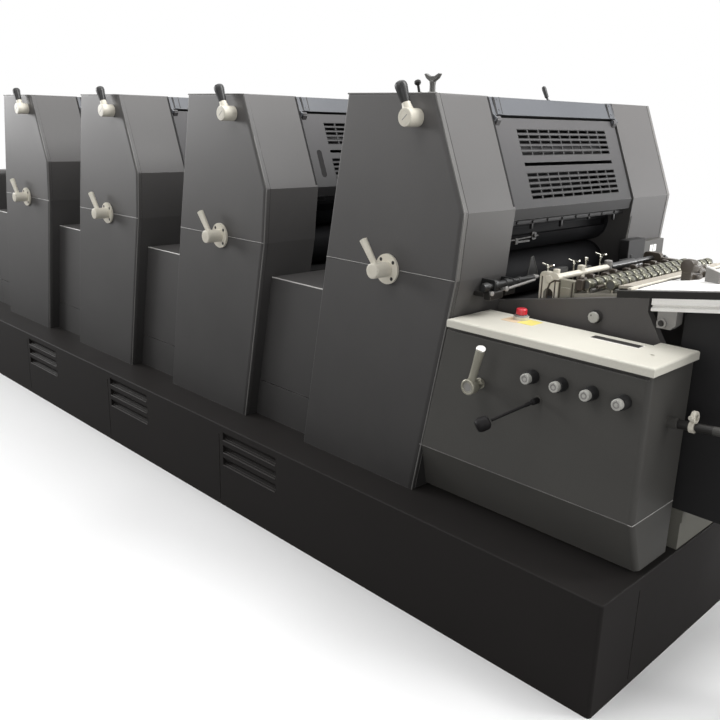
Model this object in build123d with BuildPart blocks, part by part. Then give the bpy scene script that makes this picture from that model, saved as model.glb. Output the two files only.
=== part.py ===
from build123d import *
import os

os.makedirs("parts", exist_ok=True)

# Frame: millimetres, floor at Z 0, +X towards the feeder, operator's side at -Y.

# Clearances that the pieces share
gap = 2                      # between neighbouring sheet covers
core_in = 8                  # inner pieces set back behind the side covers
hinge_clear = 0.05           # running clearance of pins and shafts
side_gap = 1                 # between a lever's hub and its cover
seat_gap = 0.3               # between a piece and what carries it

# Layout of the whole machine
unit_pitch = 930
unit_1 = 1280                # centre line of the printing unit next to the feeder
unit_x = [unit_1 - unit_pitch * i for i in range(4)]
plinth_left = -2640
plinth_right = 2218
plinth_h = 351
plinth_half = 788

# Side outline of a unit: offsets from its centre line, and heights
top_left = -204
joint_left = -300
low_left = -417
top_right = 164
kink_right = 298
joint_right = 281
low_right = 145
lower_h = 729                # plinth to joint line
upper_h = 540                # joint line to top
kink_up = 204                # joint line to the kink of the feeder-side edge
joint_z = plinth_h + lower_h
top_z = joint_z + upper_h
kink_z = joint_z + kink_up

# Side covers across the machine
cover_in = 139               # set back from the plinth's edge
near_cover_t = 253
far_cover_t = 291
cover_front = cover_in - plinth_half
near_in = cover_front + near_cover_t
cover_back = -cover_front
far_in = cover_back - far_cover_t


def at_y(y):
    return Plane.XZ.offset(-y)


def left_edge(z):
    if z >= joint_z:
        return joint_left + (top_left - joint_left) * (z - joint_z) / upper_h
    return low_left + (joint_left - low_left) * (z - plinth_h) / lower_h


def right_edge(z):
    if z >= kink_z:
        return kink_right + (top_right - kink_right) * (z - kink_z) / (top_z - kink_z)
    if z >= joint_z:
        return joint_right + (kink_right - joint_right) * (z - joint_z) / kink_up
    return low_right + (joint_right - low_right) * (z - plinth_h) / lower_h


# Slanted guard face: unit vectors down the slope and outwards
slope_len = ((kink_right - top_right) ** 2 + (top_z - kink_z) ** 2) ** 0.5
down_x, down_z = (kink_right - top_right) / slope_len, (kink_z - top_z) / slope_len
out_x, out_z = -down_z, down_x


def on_slope(s, n):
    return (top_right + s * down_x + n * out_x, top_z + s * down_z + n * out_z)


def shifted(points, x):
    return [(p[0] + x, p[1]) for p in points]


# Plinth: closed base housing with panel seams and recessed louvres along both sides
louvre_in = 750              # louvre group's left end, from its unit's centre line towards the delivery
louvre_len = 340
louvre_pitch = 54
louvre_deep = 20
louvre_over = 30             # upper edge of a recess above its lip
louvre_ledge = 6             # half the height of the ledge at its foot
louvre_low = 186             # lowest lip
seam_w = 4
seam_deep = 4
seam_in = 25                 # seam beside each louvre group
seam_low = 20
seam_high = 40
end_seam_in = 208            # seam in the end face, from the front
plinth_round = 10
with BuildPart() as plinth:
    with BuildSketch(Plane.XY):
        with Locations(((plinth_left + plinth_right) / 2, 0)):
            Rectangle(plinth_right - plinth_left, 2 * plinth_half)
    extrude(amount=plinth_h)
    fillet(plinth.edges().filter_by(Axis.Z), radius=plinth_round)
    fillet(plinth.faces().sort_by(Axis.Z)[-1].edges(), radius=plinth_round / 2)
    for x in unit_x:
        for side in (-1, 1):
            for n in range(3):
                lip_z = louvre_low + louvre_pitch * n
                face_y = side * plinth_half
                with BuildSketch(Plane.YZ.offset(x - louvre_in)):
                    with BuildLine():
                        Polyline((face_y + side, lip_z - louvre_ledge), (face_y, lip_z - louvre_ledge),
                                 (face_y - side * louvre_deep, lip_z + louvre_ledge),
                                 (face_y, lip_z + louvre_over),
                                 (face_y + side, lip_z + louvre_over), close=True)
                    make_face()
                extrude(amount=louvre_len, mode=Mode.SUBTRACT)
            with Locations((x - louvre_in - seam_in, face_y, (plinth_h + seam_low - seam_high) / 2)):
                Box(seam_w, 2 * seam_deep, plinth_h - seam_low - seam_high, mode=Mode.SUBTRACT)
    with Locations((plinth_right, end_seam_in - plinth_half, (plinth_h + seam_low - seam_high) / 2)):
        Box(2 * seam_deep, seam_w, plinth_h - seam_low - seam_high, mode=Mode.SUBTRACT)
plinth.part.label = "plinth"
export_step(plinth.part, "parts/plinth.step")

# Side covers, near and far, one pair for each unit
outline = [(low_left, plinth_h), (joint_left, joint_z), (top_left, top_z), (top_right, top_z),
           (kink_right, kink_z), (joint_right, joint_z), (low_right, plinth_h)]
edge_soft = 8
edge_round = 20
groove_h = 4
groove_deep = 5
hub_u = 99                   # upper lever's axis from the centre line
hub_drop = 71                # and below the top
hub_z = top_z - hub_drop
pin_r = 12                   # bearing pins of the unit's levers
pin_len = 30
with BuildPart() as near_covers:
    for x in unit_x:
        with BuildSketch(at_y(near_in)):
            with BuildLine():
                Polyline(*shifted(outline, x), close=True)
            make_face()
        extrude(amount=near_cover_t)
    for x in unit_x:
        outer = near_covers.faces().filter_by(Axis.Y).group_by(Axis.Y)[0].edges()
        right_of = x + low_right / 2
        fillet(outer.filter_by(lambda e: right_of < e.center().X < x + unit_pitch / 2), radius=edge_round)
        outer = near_covers.faces().filter_by(Axis.Y).group_by(Axis.Y)[0].edges()
        fillet(outer.filter_by(lambda e: x - unit_pitch / 2 < e.center().X < right_of
                               and e.center().Z > plinth_h + gap), radius=edge_soft)
    for x in unit_x:
        with Locations((x, cover_front, joint_z)):
            Box(unit_pitch * 0.75, 2 * groove_deep, groove_h, mode=Mode.SUBTRACT)
        with BuildSketch(at_y(cover_front)):
            with Locations((x + hub_u, hub_z), (x, joint_z)):
                Circle(pin_r)
        extrude(amount=pin_len)
near_covers.part.label = "near_covers"
export_step(near_covers.part, "parts/near_covers.step")

with BuildPart() as far_covers:
    for x in unit_x:
        with BuildSketch(at_y(cover_back)):
            with BuildLine():
                Polyline(*shifted(outline, x), close=True)
            make_face()
        extrude(amount=far_cover_t)
    outer = far_covers.faces().filter_by(Axis.Y).group_by(Axis.Y)[-1].edges()
    fillet(outer.filter_by(lambda e: e.center().Z > plinth_h + gap), radius=edge_soft)
    for x in unit_x:
        with Locations((x, cover_back, joint_z)):
            Box(unit_pitch * 0.75, 2 * groove_deep, groove_h, mode=Mode.SUBTRACT)
far_covers.part.label = "far_covers"
export_step(far_covers.part, "parts/far_covers.step")

# Cylinders and ink rollers of a unit, one above the other
cyl_r = 78                   # impression and blanket cylinders
plate_r = 74
nip = 4                      # between neighbouring cylinders
impression_u = 120
impression_drop = 50         # below the joint line
blanket_u = 125
plate_u = 105
form_u = 95
form_r = 24
rider_u = 165
rider_r = 28
impression_z = joint_z - impression_drop
blanket_z = impression_z + 2 * cyl_r + nip
plate_z = blanket_z + cyl_r + plate_r + nip
form_z = plate_z + plate_r + form_r + nip
rider_z = form_z + nip
bearer_w = 14                # bearer ring at each end of a cylinder
bearer_groove = 4
clamp_w = 26                 # clamp channel along the plate and blanket cylinders
clamp_deep = 20

# Central housing of each unit, open towards the feeder where the cylinders are
step_drop = 136              # step covers' top below the joint line
step_top = joint_z - step_drop
bay_back = 20                # rear wall of the cylinder bay
bay_top_u = 60
bay_top_z = form_z + 2 * form_r + nip
bay_back_z = form_z - form_r / 2
cover_t = 4
strip_end = 56               # where the housing's slope ends behind the guard
bay_in = 34                  # bay's front wall behind the slope
corner_s = (cover_t + gap) * (1 - out_z) / -down_z    # inner corner of the folded top cover
core_outline = [(low_left + core_in, plinth_h), (joint_left + core_in, joint_z),
                (top_left + core_in, top_z - cover_t - gap), on_slope(corner_s, -cover_t - gap),
                on_slope(strip_end, -cover_t - gap), on_slope(strip_end + cover_t, -bay_in),
                (bay_top_u, bay_top_z), (bay_back, bay_back_z), (bay_back, step_top),
                (right_edge(step_top) - core_in, step_top), (low_right - core_in, plinth_h)]
with BuildPart() as housings:
    for x in unit_x:
        with BuildSketch(at_y(far_in)):
            with BuildLine():
                Polyline(*shifted(core_outline, x), close=True)
            make_face()
        extrude(amount=far_in - near_in)
housings.part.label = "housings"
export_step(housings.part, "parts/housings.step")

upper_cyls = [(blanket_u, blanket_z, cyl_r), (plate_u, plate_z, plate_r)]
clamp_len = far_in - near_in - 2 * bearer_w - 2 * bearer_groove
with BuildPart() as press_cylinders:
    for x in unit_x:
        for u, z, r in [(impression_u, impression_z, cyl_r)] + upper_cyls:
            with BuildSketch(at_y(far_in)):
                with Locations((x + u, z)):
                    Circle(r)
            extrude(amount=far_in - near_in)
            for y in (near_in + bearer_w + bearer_groove, far_in - bearer_w):
                with BuildSketch(at_y(y)):
                    with Locations((x + u, z)):
                        Circle(r + gap)
                        Circle(r - bearer_groove, mode=Mode.SUBTRACT)
                extrude(amount=bearer_groove, mode=Mode.SUBTRACT)
        for u, z, r in upper_cyls:
            with Locations((x + u + r, (near_in + far_in) / 2, z)):
                Box(2 * clamp_deep, clamp_len, clamp_w, mode=Mode.SUBTRACT)
press_cylinders.part.label = "press_cylinders"
export_step(press_cylinders.part, "parts/press_cylinders.step")

with BuildPart() as ink_rollers:
    for x in unit_x:
        for u, z, r in ((form_u, form_z, form_r), (rider_u, rider_z, rider_r)):
            with BuildSketch(at_y(far_in)):
                with Locations((x + u, z)):
                    Circle(r)
            extrude(amount=far_in - near_in)
ink_rollers.part.label = "ink_rollers"
export_step(ink_rollers.part, "parts/ink_rollers.step")

# Top covers: folded sheet over each housing, with the fixed lugs and pins of the guard's hinge
top_strip = 59               # covered length of the slope
hinge_s = 72                 # hinge axis down the slope
lug_t = 8
lug_r = 9
hinge_pin_r = 5
knuckle_len = 20
guard_gap = 6                # beside the guard
top_outline = [(top_left + core_in, top_z - cover_t - gap), (top_left + core_in, top_z - gap),
               (top_right - gap, top_z - gap), on_slope(top_strip, 0),
               on_slope(top_strip, -cover_t - gap), on_slope(corner_s, -cover_t - gap)]
with BuildPart() as top_covers:
    for x in unit_x:
        with BuildSketch(at_y(far_in)):
            with BuildLine():
                Polyline(*shifted(top_outline, x), close=True)
            make_face()
        extrude(amount=far_in - near_in)
        hx, hz = on_slope(hinge_s, 0)
        for y in (near_in + lug_t, far_in):
            with BuildSketch(at_y(y)):
                with BuildLine():
                    Polyline(*shifted([on_slope(strip_end, -cover_t - gap), on_slope(strip_end, 0),
                                       on_slope(hinge_s, lug_r), on_slope(hinge_s + lug_r, 0),
                                       on_slope(hinge_s, -lug_r)], x), close=True)
                make_face()
            extrude(amount=lug_t)
        for y in (near_in + lug_t + knuckle_len, far_in - lug_t):
            with BuildSketch(at_y(y)):
                with Locations((x + hx, hz)):
                    Circle(hinge_pin_r)
            extrude(amount=knuckle_len)
top_covers.part.label = "top_covers"
export_step(top_covers.part, "parts/top_covers.step")

# Guards: vented sheet with a bent lower lip, knuckles at both ends of the upper edge
guard_t = 4
guard_in = -6                # outer surface from the slope's line
guard_top = hinge_s + 14
lip_h = 36
lip_lean = 6
lip_w = 20
guard_y0, guard_y1 = near_in + guard_gap, far_in - guard_gap
vent_near = 109              # vents' ends from the guard's ends
vent_far = 82
vent_h = 10
vent_pitch = 18.5
vent_first = 109             # first row of the upper field, down the slope
vent_long = 219              # single long slot between the fields
vent_long_h = 12
vent_second = 254            # first row of the lower field
vent_bar = 7                 # between the cells of a row
vent_cells = 9
vent_y0, vent_y1 = guard_y0 + vent_near, guard_y1 - vent_far
cell_len = (vent_y1 - vent_y0 + vent_bar) / vent_cells - vent_bar
cell_y = [vent_y0 + cell_len / 2 + (cell_len + vent_bar) * n for n in range(vent_cells)]
vent_rows = [first + vent_pitch * n for first in (vent_first, vent_second) for n in range(5)]
leaf_top = hinge_s - 5       # upper edge between the knuckles
leaf_in = lug_t + knuckle_len + gap
pocket_w = 26                # grip pocket beside the vents, on all guards but the first
pocket_len = 112
pocket_s = 268
pocket_in = 49
pocket_deep = 2.5
knuckle_r = 8
low_x, low_z = on_slope(slope_len, guard_in)
lip_x, lip_z = low_x - lip_lean, low_z - lip_h
guard_outline = [on_slope(guard_top, guard_in), (low_x, low_z), (lip_x, lip_z), (lip_x - lip_w, lip_z),
                 (lip_x - lip_w, lip_z + guard_t), (lip_x - guard_t, lip_z + guard_t),
                 on_slope(slope_len, guard_in - guard_t), on_slope(guard_top, guard_in - guard_t)]
knuckle_outline = [on_slope(hinge_s - gap, guard_in - gap), on_slope(hinge_s - gap, hinge_pin_r),
                   on_slope(hinge_s + knuckle_r, knuckle_r - side_gap),
                   on_slope(guard_top + guard_gap, guard_in),
                   on_slope(guard_top + guard_gap, guard_in - guard_t)]
for i, x in enumerate(unit_x, start=1):
    with BuildPart() as guard:
        with BuildSketch(at_y(guard_y1)):
            with BuildLine():
                Polyline(*shifted(guard_outline, x), close=True)
            make_face()
        extrude(amount=guard_y1 - guard_y0)
        with BuildSketch(at_y(far_in - leaf_in)):
            with BuildLine():
                Polyline(*shifted([on_slope(leaf_top, guard_in), on_slope(guard_top, guard_in),
                                   on_slope(guard_top, guard_in - guard_t),
                                   on_slope(leaf_top, guard_in - guard_t)], x), close=True)
            make_face()
        extrude(amount=far_in - near_in - 2 * leaf_in)
        face_x, face_z = on_slope(0, guard_in)
        face_plane = Plane(origin=(x + face_x, 0, face_z), x_dir=(0, 1, 0), z_dir=(out_x, 0, out_z))
        with BuildSketch(face_plane):
            with Locations(*[(y, -s) for s in vent_rows for y in cell_y]):
                Rectangle(cell_len, vent_h)
            with Locations(((vent_y0 + vent_y1) / 2, -vent_long)):
                Rectangle(vent_y1 - vent_y0, vent_long_h)
        extrude(amount=-2 * guard_t, mode=Mode.SUBTRACT)
        if x != unit_1:
            with BuildSketch(face_plane):
                with Locations((guard_y0 + pocket_in, -pocket_s)):
                    SlotOverall(pocket_len, pocket_w, rotation=90)
            extrude(amount=-pocket_deep, mode=Mode.SUBTRACT)
        hx, hz = on_slope(hinge_s, 0)
        for y in (near_in + lug_t + knuckle_len, far_in - lug_t):
            with BuildSketch(at_y(y - seat_gap)):
                with BuildLine():
                    Polyline(*shifted(knuckle_outline, x), close=True)
                make_face()
                with Locations((x + hx, hz)):
                    Circle(knuckle_r)
            extrude(amount=knuckle_len - 2 * seat_gap)
            with BuildSketch(at_y(y + side_gap)):
                with Locations((x + hx, hz)):
                    Circle(hinge_pin_r + hinge_clear)
            extrude(amount=knuckle_len + 2 * side_gap, mode=Mode.SUBTRACT)
    guard.part.label = f"guard_{i}"
    export_step(guard.part, f"parts/guard_{i}.step")

# Upper levers: round hub on the near cover, slanted arm with a sleeve grip
hub_r = 27
hub_len = 56
hub_edge = 3
arm_r = 7
arm_len = 66
arm_out = 32                 # arm's axis in front of the hub's back
grip_r = 11
grip_start = 56
grip_len = 52
arm_dir = (-0.42, 0, 0.907)
hub_y = cover_front - side_gap
for i, x in enumerate(unit_x, start=1):
    with BuildPart() as top_lever:
        with BuildSketch(at_y(hub_y)):
            with Locations((x + hub_u, hub_z)):
                Circle(hub_r)
        extrude(amount=hub_len)
        chamfer(top_lever.faces().sort_by(Axis.Y)[0].edges(), length=hub_edge)
        arm_start = (x + hub_u, hub_y - arm_out, hub_z)
        with BuildSketch(Plane(origin=arm_start, z_dir=arm_dir)):
            Circle(arm_r)
        extrude(amount=arm_len)
        with BuildSketch(Plane(origin=(arm_start[0] + grip_start * arm_dir[0], arm_start[1],
                                       arm_start[2] + grip_start * arm_dir[2]), z_dir=arm_dir)):
            Circle(grip_r)
        extrude(amount=grip_len)
        fillet(top_lever.faces().sort_by(Axis.Z)[-1].edges(), radius=grip_r / 3)
        with BuildSketch(at_y(hub_y)):
            with Locations((x + hub_u, hub_z)):
                Circle(pin_r + hinge_clear)
        extrude(amount=pin_len + guard_t, mode=Mode.SUBTRACT)
    top_lever.part.label = f"top_lever_{i}"
    export_step(top_lever.part, f"parts/top_lever_{i}.step")

# Middle levers: round flange and hub on the joint line, tapered handle
flange_r = 49
flange_t = 8
mid_hub_r = 25
mid_hub_len = 72
handle_r = 9
handle_len = 112
handle_out = 48
handle_dir = (-0.602, 0, 0.799)
for i, x in enumerate(unit_x, start=1):
    with BuildPart() as mid_lever:
        with BuildSketch(at_y(hub_y)):
            with Locations((x, joint_z)):
                Circle(flange_r)
        extrude(amount=flange_t)
        with BuildSketch(at_y(hub_y - flange_t)):
            with Locations((x, joint_z)):
                Circle(mid_hub_r)
        extrude(amount=mid_hub_len - flange_t)
        chamfer(mid_lever.faces().sort_by(Axis.Y)[0].edges(), length=hub_edge)
        with BuildSketch(Plane(origin=(x, hub_y - handle_out, joint_z), z_dir=handle_dir)):
            Circle(handle_r)
        extrude(amount=handle_len, taper=-2)
        with BuildSketch(at_y(hub_y)):
            with Locations((x, joint_z)):
                Circle(pin_r + hinge_clear)
        extrude(amount=pin_len + guard_t, mode=Mode.SUBTRACT)
    mid_lever.part.label = f"mid_lever_{i}"
    export_step(mid_lever.part, f"parts/mid_lever_{i}.step")

# Step covers between the units and before the delivery, standing on the plinth
step_in = 56                 # set back from the side covers
step_front = cover_front + step_in
step_seam = 154              # seam above the plinth
delivery_out = 660           # delivery housing from the last unit's centre line
delivery_right = unit_x[-1] - delivery_out
with BuildPart() as step_covers:
    for right in unit_x:
        left = right - unit_pitch
        last = right == unit_x[-1]
        low_l = delivery_right if last else left + low_right
        high_l = delivery_right if last else left + right_edge(step_top)
        with BuildSketch(at_y(-step_front)):
            with BuildLine():
                Polyline((low_l + gap, plinth_h), (high_l + gap, step_top),
                         (right + left_edge(step_top) - gap, step_top),
                         (right + low_left - gap, plinth_h), close=True)
            make_face()
        extrude(amount=-2 * step_front)
    for y in (step_front, -step_front):
        with Locations(((plinth_left + unit_1) / 2, y, plinth_h + step_seam)):
            Box(unit_1 - plinth_left, 2 * groove_deep, groove_h, mode=Mode.SUBTRACT)
step_covers.part.label = "step_covers"
export_step(step_covers.part, "parts/step_covers.step")

# Control console: tapered base, seam, body with a recess under its slab, pins of the controls
console_end_in = 15          # from the plinth's end
console_right = plinth_right - console_end_in
console_back_in = 17         # behind the side covers' inner plane
console_back = near_in - console_back_in
console_low_in = 67
console_low_front = cover_front + console_low_in
console_seam = 174           # above the plinth
console_h = 591
console_top = plinth_h + console_h
console_seam_z = plinth_h + console_seam
foot_h = 10
foot_in = 15
under_slab = 12
plate_deep = 4
end_round = 16
body_gap = 6                 # beside the first unit's cover
ctrl_pin_r = 5
lever_pin_r = 10
ctrl_pin_len = 19
washer_t = 3
washer_over = 8
lever_in = 528               # controls from the console's right end, and their heights above the plinth
lever_up = 441
lever_x, lever_z = console_right - lever_in, plinth_h + lever_up
knob_in = 64
knob_pitch = 93
knob_up = 508
knob_x = [console_right - knob_in - knob_pitch * n for n in range(3, -1, -1)]
knob_z = plinth_h + knob_up
ball_in = 322
ball_up = 442
ball_x, ball_z = console_right - ball_in, plinth_h + ball_up
controls = [(lever_x, lever_z, lever_pin_r), (ball_x, ball_z, ctrl_pin_r)]
controls += [(k, knob_z, ctrl_pin_r) for k in knob_x]
shaft_in = 132               # shaft behind the console's front
shaft_up = 437
shaft_y, shaft_z = cover_front + shaft_in, plinth_h + shaft_up
shaft_r = 9
shaft_len = 125
shaft_slope = 0.09
collar_r = 16
collar_len = 30
collar_t = 12
joint_len = 40
shaft_plane = Plane(origin=(console_right - gap, shaft_y, shaft_z), x_dir=(0, 1, 0),
                    z_dir=(1, 0, shaft_slope))
with BuildPart() as console_body:
    with BuildSketch(Plane.YZ.offset(unit_1 + low_right - end_round)):
        with BuildLine():
            Polyline((console_low_front, plinth_h + foot_h), (cover_front, console_seam_z),
                     (cover_front, console_top), (console_back, console_top),
                     (console_back, plinth_h + foot_h), close=True)
        make_face()
    extrude(amount=console_right - unit_1 - low_right + end_round)
    right_rim = console_body.edges().filter_by(
        lambda e: e.center().X > console_right - 1 and e.center().Y < console_low_front - gap
        and plinth_h + foot_h + 1 < e.center().Z < console_top - 1)
    fillet(right_rim, radius=end_round)
    with BuildSketch(Plane.XY.offset(plinth_h)):
        with Locations(((unit_1 + low_right + console_right) / 2, (console_low_front + console_back) / 2)):
            Rectangle(console_right - unit_1 - low_right - 2 * foot_in,
                      console_back - console_low_front - 2 * foot_in)
    extrude(amount=foot_h)
    with BuildSketch(at_y(console_back + foot_in)):
        with BuildLine():
            Polyline((unit_1 + low_left, plinth_h - gap), (unit_1 + low_right + gap, plinth_h - gap),
                     (unit_1 + right_edge(console_top) + body_gap, console_top + gap),
                     (unit_1 + low_left, console_top + gap), close=True)
        make_face()
    extrude(amount=console_back - cover_front + 2 * foot_in, mode=Mode.SUBTRACT)
    with Locations(((unit_1 + console_right) / 2, cover_front, console_top)):
        Box(console_right - unit_1 + 2 * end_round, 2 * plate_deep, 2 * under_slab, mode=Mode.SUBTRACT)
    with Locations(((unit_1 + console_right) / 2, cover_front, console_seam_z)):
        Box(console_right - unit_1 + 2 * foot_in, plate_deep, groove_h, mode=Mode.SUBTRACT)
    with Locations((console_right, (cover_front + console_back) / 2, console_seam_z)):
        Box(plate_deep, 2 * near_cover_t, groove_h, mode=Mode.SUBTRACT)
    for px, pz, pr in controls:
        with BuildSketch(at_y(cover_front)):
            with Locations((px, pz)):
                Circle(pr + washer_over)
        extrude(amount=washer_t)
        with BuildSketch(at_y(cover_front - washer_t)):
            with Locations((px, pz)):
                Circle(pr)
        extrude(amount=ctrl_pin_len)
    with BuildSketch(shaft_plane):
        Circle(collar_r)
    extrude(amount=collar_len)
    with BuildSketch(shaft_plane):
        Circle(shaft_r)
    extrude(amount=shaft_len)
    with BuildSketch(shaft_plane.offset(2 * collar_len)):
        Circle(collar_r)
    extrude(amount=collar_t)
    with BuildSketch(shaft_plane.offset(shaft_len - gap)):
        Circle(shaft_r + washer_t)
    extrude(amount=joint_len)
console_body.part.label = "console_body"
export_step(console_body.part, "parts/console_body.step")

# Cream slab on the console, with a finger slot, a hole and the stop button's base
slab_t = 24
slab_over = 10
slab_left = unit_1 + right_edge(console_top + slab_t) + 2 * gap
slab_front = cover_front - slab_over
slab_back = console_back - 3 * slab_over
slab_jog_in = 105            # deeper end of the slab, from the console's right end
slab_jog_x = console_right - slab_jog_in
slab_deep_back = console_back + console_back_in - gap
slab_round = 6
finger_in = 185
finger_len = 150
finger_w = 14
finger_y = 167               # from the slab's front
finger_deep = 14
hole_in = 57
hole_y = 118
hole_r = 6
stop_in = 513
stop_back = 177
stop_x, stop_y = console_right - stop_in, slab_front + stop_back
stop_pin_r = 8
stop_base_r = 24
stop_base_h = 10
stop_bore = 22
with BuildPart() as console_slab:
    with BuildSketch(Plane.XY.offset(console_top)):
        with BuildLine():
            Polyline((slab_left, slab_front), (console_right + core_in, slab_front),
                     (console_right + core_in, slab_deep_back), (slab_jog_x, slab_deep_back),
                     (slab_jog_x, slab_back), (slab_left, slab_back), close=True)
        make_face()
    extrude(amount=slab_t)
    fillet(console_slab.faces().sort_by(Axis.Z)[-1].edges(), radius=slab_round)
    with BuildSketch(Plane.XY.offset(console_top + slab_t)):
        with Locations((console_right - finger_in, slab_front + finger_y)):
            SlotOverall(finger_len, finger_w)
        with Locations((console_right - hole_in, slab_front + hole_y)):
            Circle(hole_r)
    extrude(amount=-finger_deep, mode=Mode.SUBTRACT)
    with BuildSketch(Plane.XY.offset(console_top + slab_t)):
        with Locations((stop_x, stop_y)):
            Circle(stop_base_r)
    extrude(amount=stop_base_h)
    with BuildSketch(Plane.XY.offset(console_top + slab_t + stop_base_h)):
        with Locations((stop_x, stop_y)):
            Circle(stop_pin_r + hinge_clear)
    extrude(amount=-stop_bore, mode=Mode.SUBTRACT)
console_slab.part.label = "console_slab"
export_step(console_slab.part, "parts/console_slab.step")

stop_pin_len = 12
stop_rise = 7                # room for the button's travel
stop_head_r = 17
stop_head_h = 17
stop_round = 5
stop_base_z = console_top + slab_t + stop_base_h
with BuildPart() as stop_button:
    with BuildSketch(Plane.XY.offset(stop_base_z - stop_pin_len)):
        with Locations((stop_x, stop_y)):
            Circle(stop_pin_r)
    extrude(amount=stop_pin_len + stop_rise)
    with BuildSketch(Plane.XY.offset(stop_base_z + stop_rise)):
        with Locations((stop_x, stop_y)):
            Circle(stop_head_r)
    extrude(amount=stop_head_h)
    fillet(stop_button.faces().sort_by(Axis.Z)[-1].edges(), radius=stop_round)
stop_button.part.label = "stop_button"
export_step(stop_button.part, "parts/stop_button.step")

# Console controls: each turns on its own pin, which stands out of the control plate
ctrl_y = cover_front - washer_t - side_gap / 2
bore_len = ctrl_pin_len + washer_t
lever_foot_r = 17
lever_foot_len = 20
lever_hub_r = 24
lever_hub_len = 37
lever_arm_out = 36
lever_arm_w = 18
lever_arm_t = 14
lever_arm_len = 132
lever_lean = (0.11, 0, 0.994)
with BuildPart() as console_lever:
    with BuildSketch(at_y(ctrl_y)):
        with Locations((lever_x, lever_z)):
            Circle(lever_foot_r)
    extrude(amount=lever_foot_len)
    with BuildSketch(at_y(ctrl_y - lever_foot_len)):
        with Locations((lever_x, lever_z)):
            Circle(lever_hub_r)
    extrude(amount=lever_hub_len)
    chamfer(console_lever.faces().sort_by(Axis.Y)[0].edges(), length=hub_edge)
    with BuildSketch(Plane(origin=(lever_x, ctrl_y - lever_arm_out, lever_z), x_dir=(0, 1, 0),
                           z_dir=lever_lean)):
        Rectangle(lever_arm_t, lever_arm_w)
    extrude(amount=lever_arm_len, taper=-2)
    with BuildSketch(at_y(ctrl_y + side_gap)):
        with Locations((lever_x, lever_z)):
            Circle(lever_pin_r + hinge_clear)
    extrude(amount=bore_len, mode=Mode.SUBTRACT)
console_lever.part.label = "console_lever"
export_step(console_lever.part, "parts/console_lever.step")

knob_foot_r = 19
knob_foot_len = 20
knob_r = 15
knob_len = 20
knob_edge = 1.5
for i, kx in enumerate(knob_x, start=1):
    with BuildPart() as knob:
        with BuildSketch(at_y(ctrl_y)):
            with Locations((kx, knob_z)):
                Circle(knob_foot_r)
        extrude(amount=knob_foot_len, taper=6)
        with BuildSketch(at_y(ctrl_y - knob_foot_len)):
            with Locations((kx, knob_z)):
                Circle(knob_r)
        extrude(amount=knob_len)
        chamfer(knob.faces().sort_by(Axis.Y)[0].edges(), length=knob_edge)
        with BuildSketch(at_y(ctrl_y + side_gap)):
            with Locations((kx, knob_z)):
                Circle(ctrl_pin_r + hinge_clear)
        extrude(amount=bore_len, mode=Mode.SUBTRACT)
    knob.part.label = f"console_knob_{i}"
    export_step(knob.part, f"parts/console_knob_{i}.step")

# Ball lever: boss on its pin, thin rod leaning out and down to a ball
ball_boss_r = 14
ball_boss_len = 30
rod_r = 4.5
ball_r = 20
ball_side = 81               # ball's centre from the boss: sideways, out and down
ball_out = 116
ball_drop = 60
rod_start = 24
rod_len = (ball_side ** 2 + ball_out ** 2 + ball_drop ** 2) ** 0.5
rod_dir = (-ball_side / rod_len, -ball_out / rod_len, -ball_drop / rod_len)
with BuildPart() as ball_lever:
    with BuildSketch(at_y(ctrl_y)):
        with Locations((ball_x, ball_z)):
            Circle(ball_boss_r)
    extrude(amount=ball_boss_len)
    chamfer(ball_lever.faces().sort_by(Axis.Y)[0].edges(), length=hub_edge)
    with BuildSketch(at_y(ctrl_y + side_gap)):
        with Locations((ball_x, ball_z)):
            Circle(ctrl_pin_r + hinge_clear)
    extrude(amount=bore_len, mode=Mode.SUBTRACT)
    with Locations((ball_x - ball_side, ctrl_y - rod_start - ball_out, ball_z - ball_drop)):
        Sphere(ball_r, rotation=(0, 45, 0))
    with BuildSketch(Plane(origin=(ball_x, ctrl_y - rod_start, ball_z), z_dir=rod_dir)):
        Circle(rod_r)
    extrude(amount=rod_len - ball_r / 2)
ball_lever.part.label = "ball_lever"
export_step(ball_lever.part, "parts/ball_lever.step")

# Feeder: side plates on the plinth
side_t = 28
near_plate_y = near_in + side_gap
far_plate_y = far_in - side_gap
board_slope = 0.15
board_drop = 94              # rail tops below the joint line, at the first unit's centre line


def board_z(x, h=0):
    return joint_z - board_drop + board_slope * (x - unit_1) + h


lay_out = 423                # lay bar from the first unit's centre line, then the pieces after it in turn
block_half = 34
plate_after = 7              # roller plate after the lay bar's end blocks
plate_len = 216
board_after = 20             # feed board after the roller plate
board_out = lay_out + block_half + plate_after + plate_len + board_after
rail_lead = 31               # rails start before the board
table_lag = 76               # table edges start after it
rail_out = board_out - rail_lead
table_out = board_out + table_lag
rail_h = 20
notch_out = 195
notch_h = 30
plate_low_in = 49            # side plate's lower corners, from the table edge's left end
plate_low_drop = 36
plate_foot_in = 84
far_plate_in = 144
edge_h = 38                  # table edge under the rail
plate_low_out = table_out + plate_low_in
plate_foot_out = table_out + plate_foot_in
far_plate_out = table_out + far_plate_in
plate_low_z = joint_z - board_drop - plate_low_drop
rail_left = unit_1 + rail_out
table_left = unit_1 + table_out
plate_knob_in = 56           # before the rails' left end
plate_knob_drop = 80
plate_knob_x, plate_knob_z = rail_left - plate_knob_in, joint_z - plate_knob_drop
plate_knob_r = 16
plate_knob_len = 26
side_low = unit_1 + low_right - core_in + gap
side_high = unit_1 + right_edge(step_top) - core_in + gap
side_upper = [(side_low, plinth_h), (side_high, step_top), (side_high, step_top + gap),
              (unit_1 + notch_out, step_top + gap), (unit_1 + notch_out, step_top + gap + notch_h),
              (rail_left, board_z(rail_left, -rail_h)),
              (table_left - core_in, board_z(table_left - core_in, -rail_h)),
              (table_left - core_in, board_z(table_left - core_in, -rail_h - edge_h))]
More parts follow.
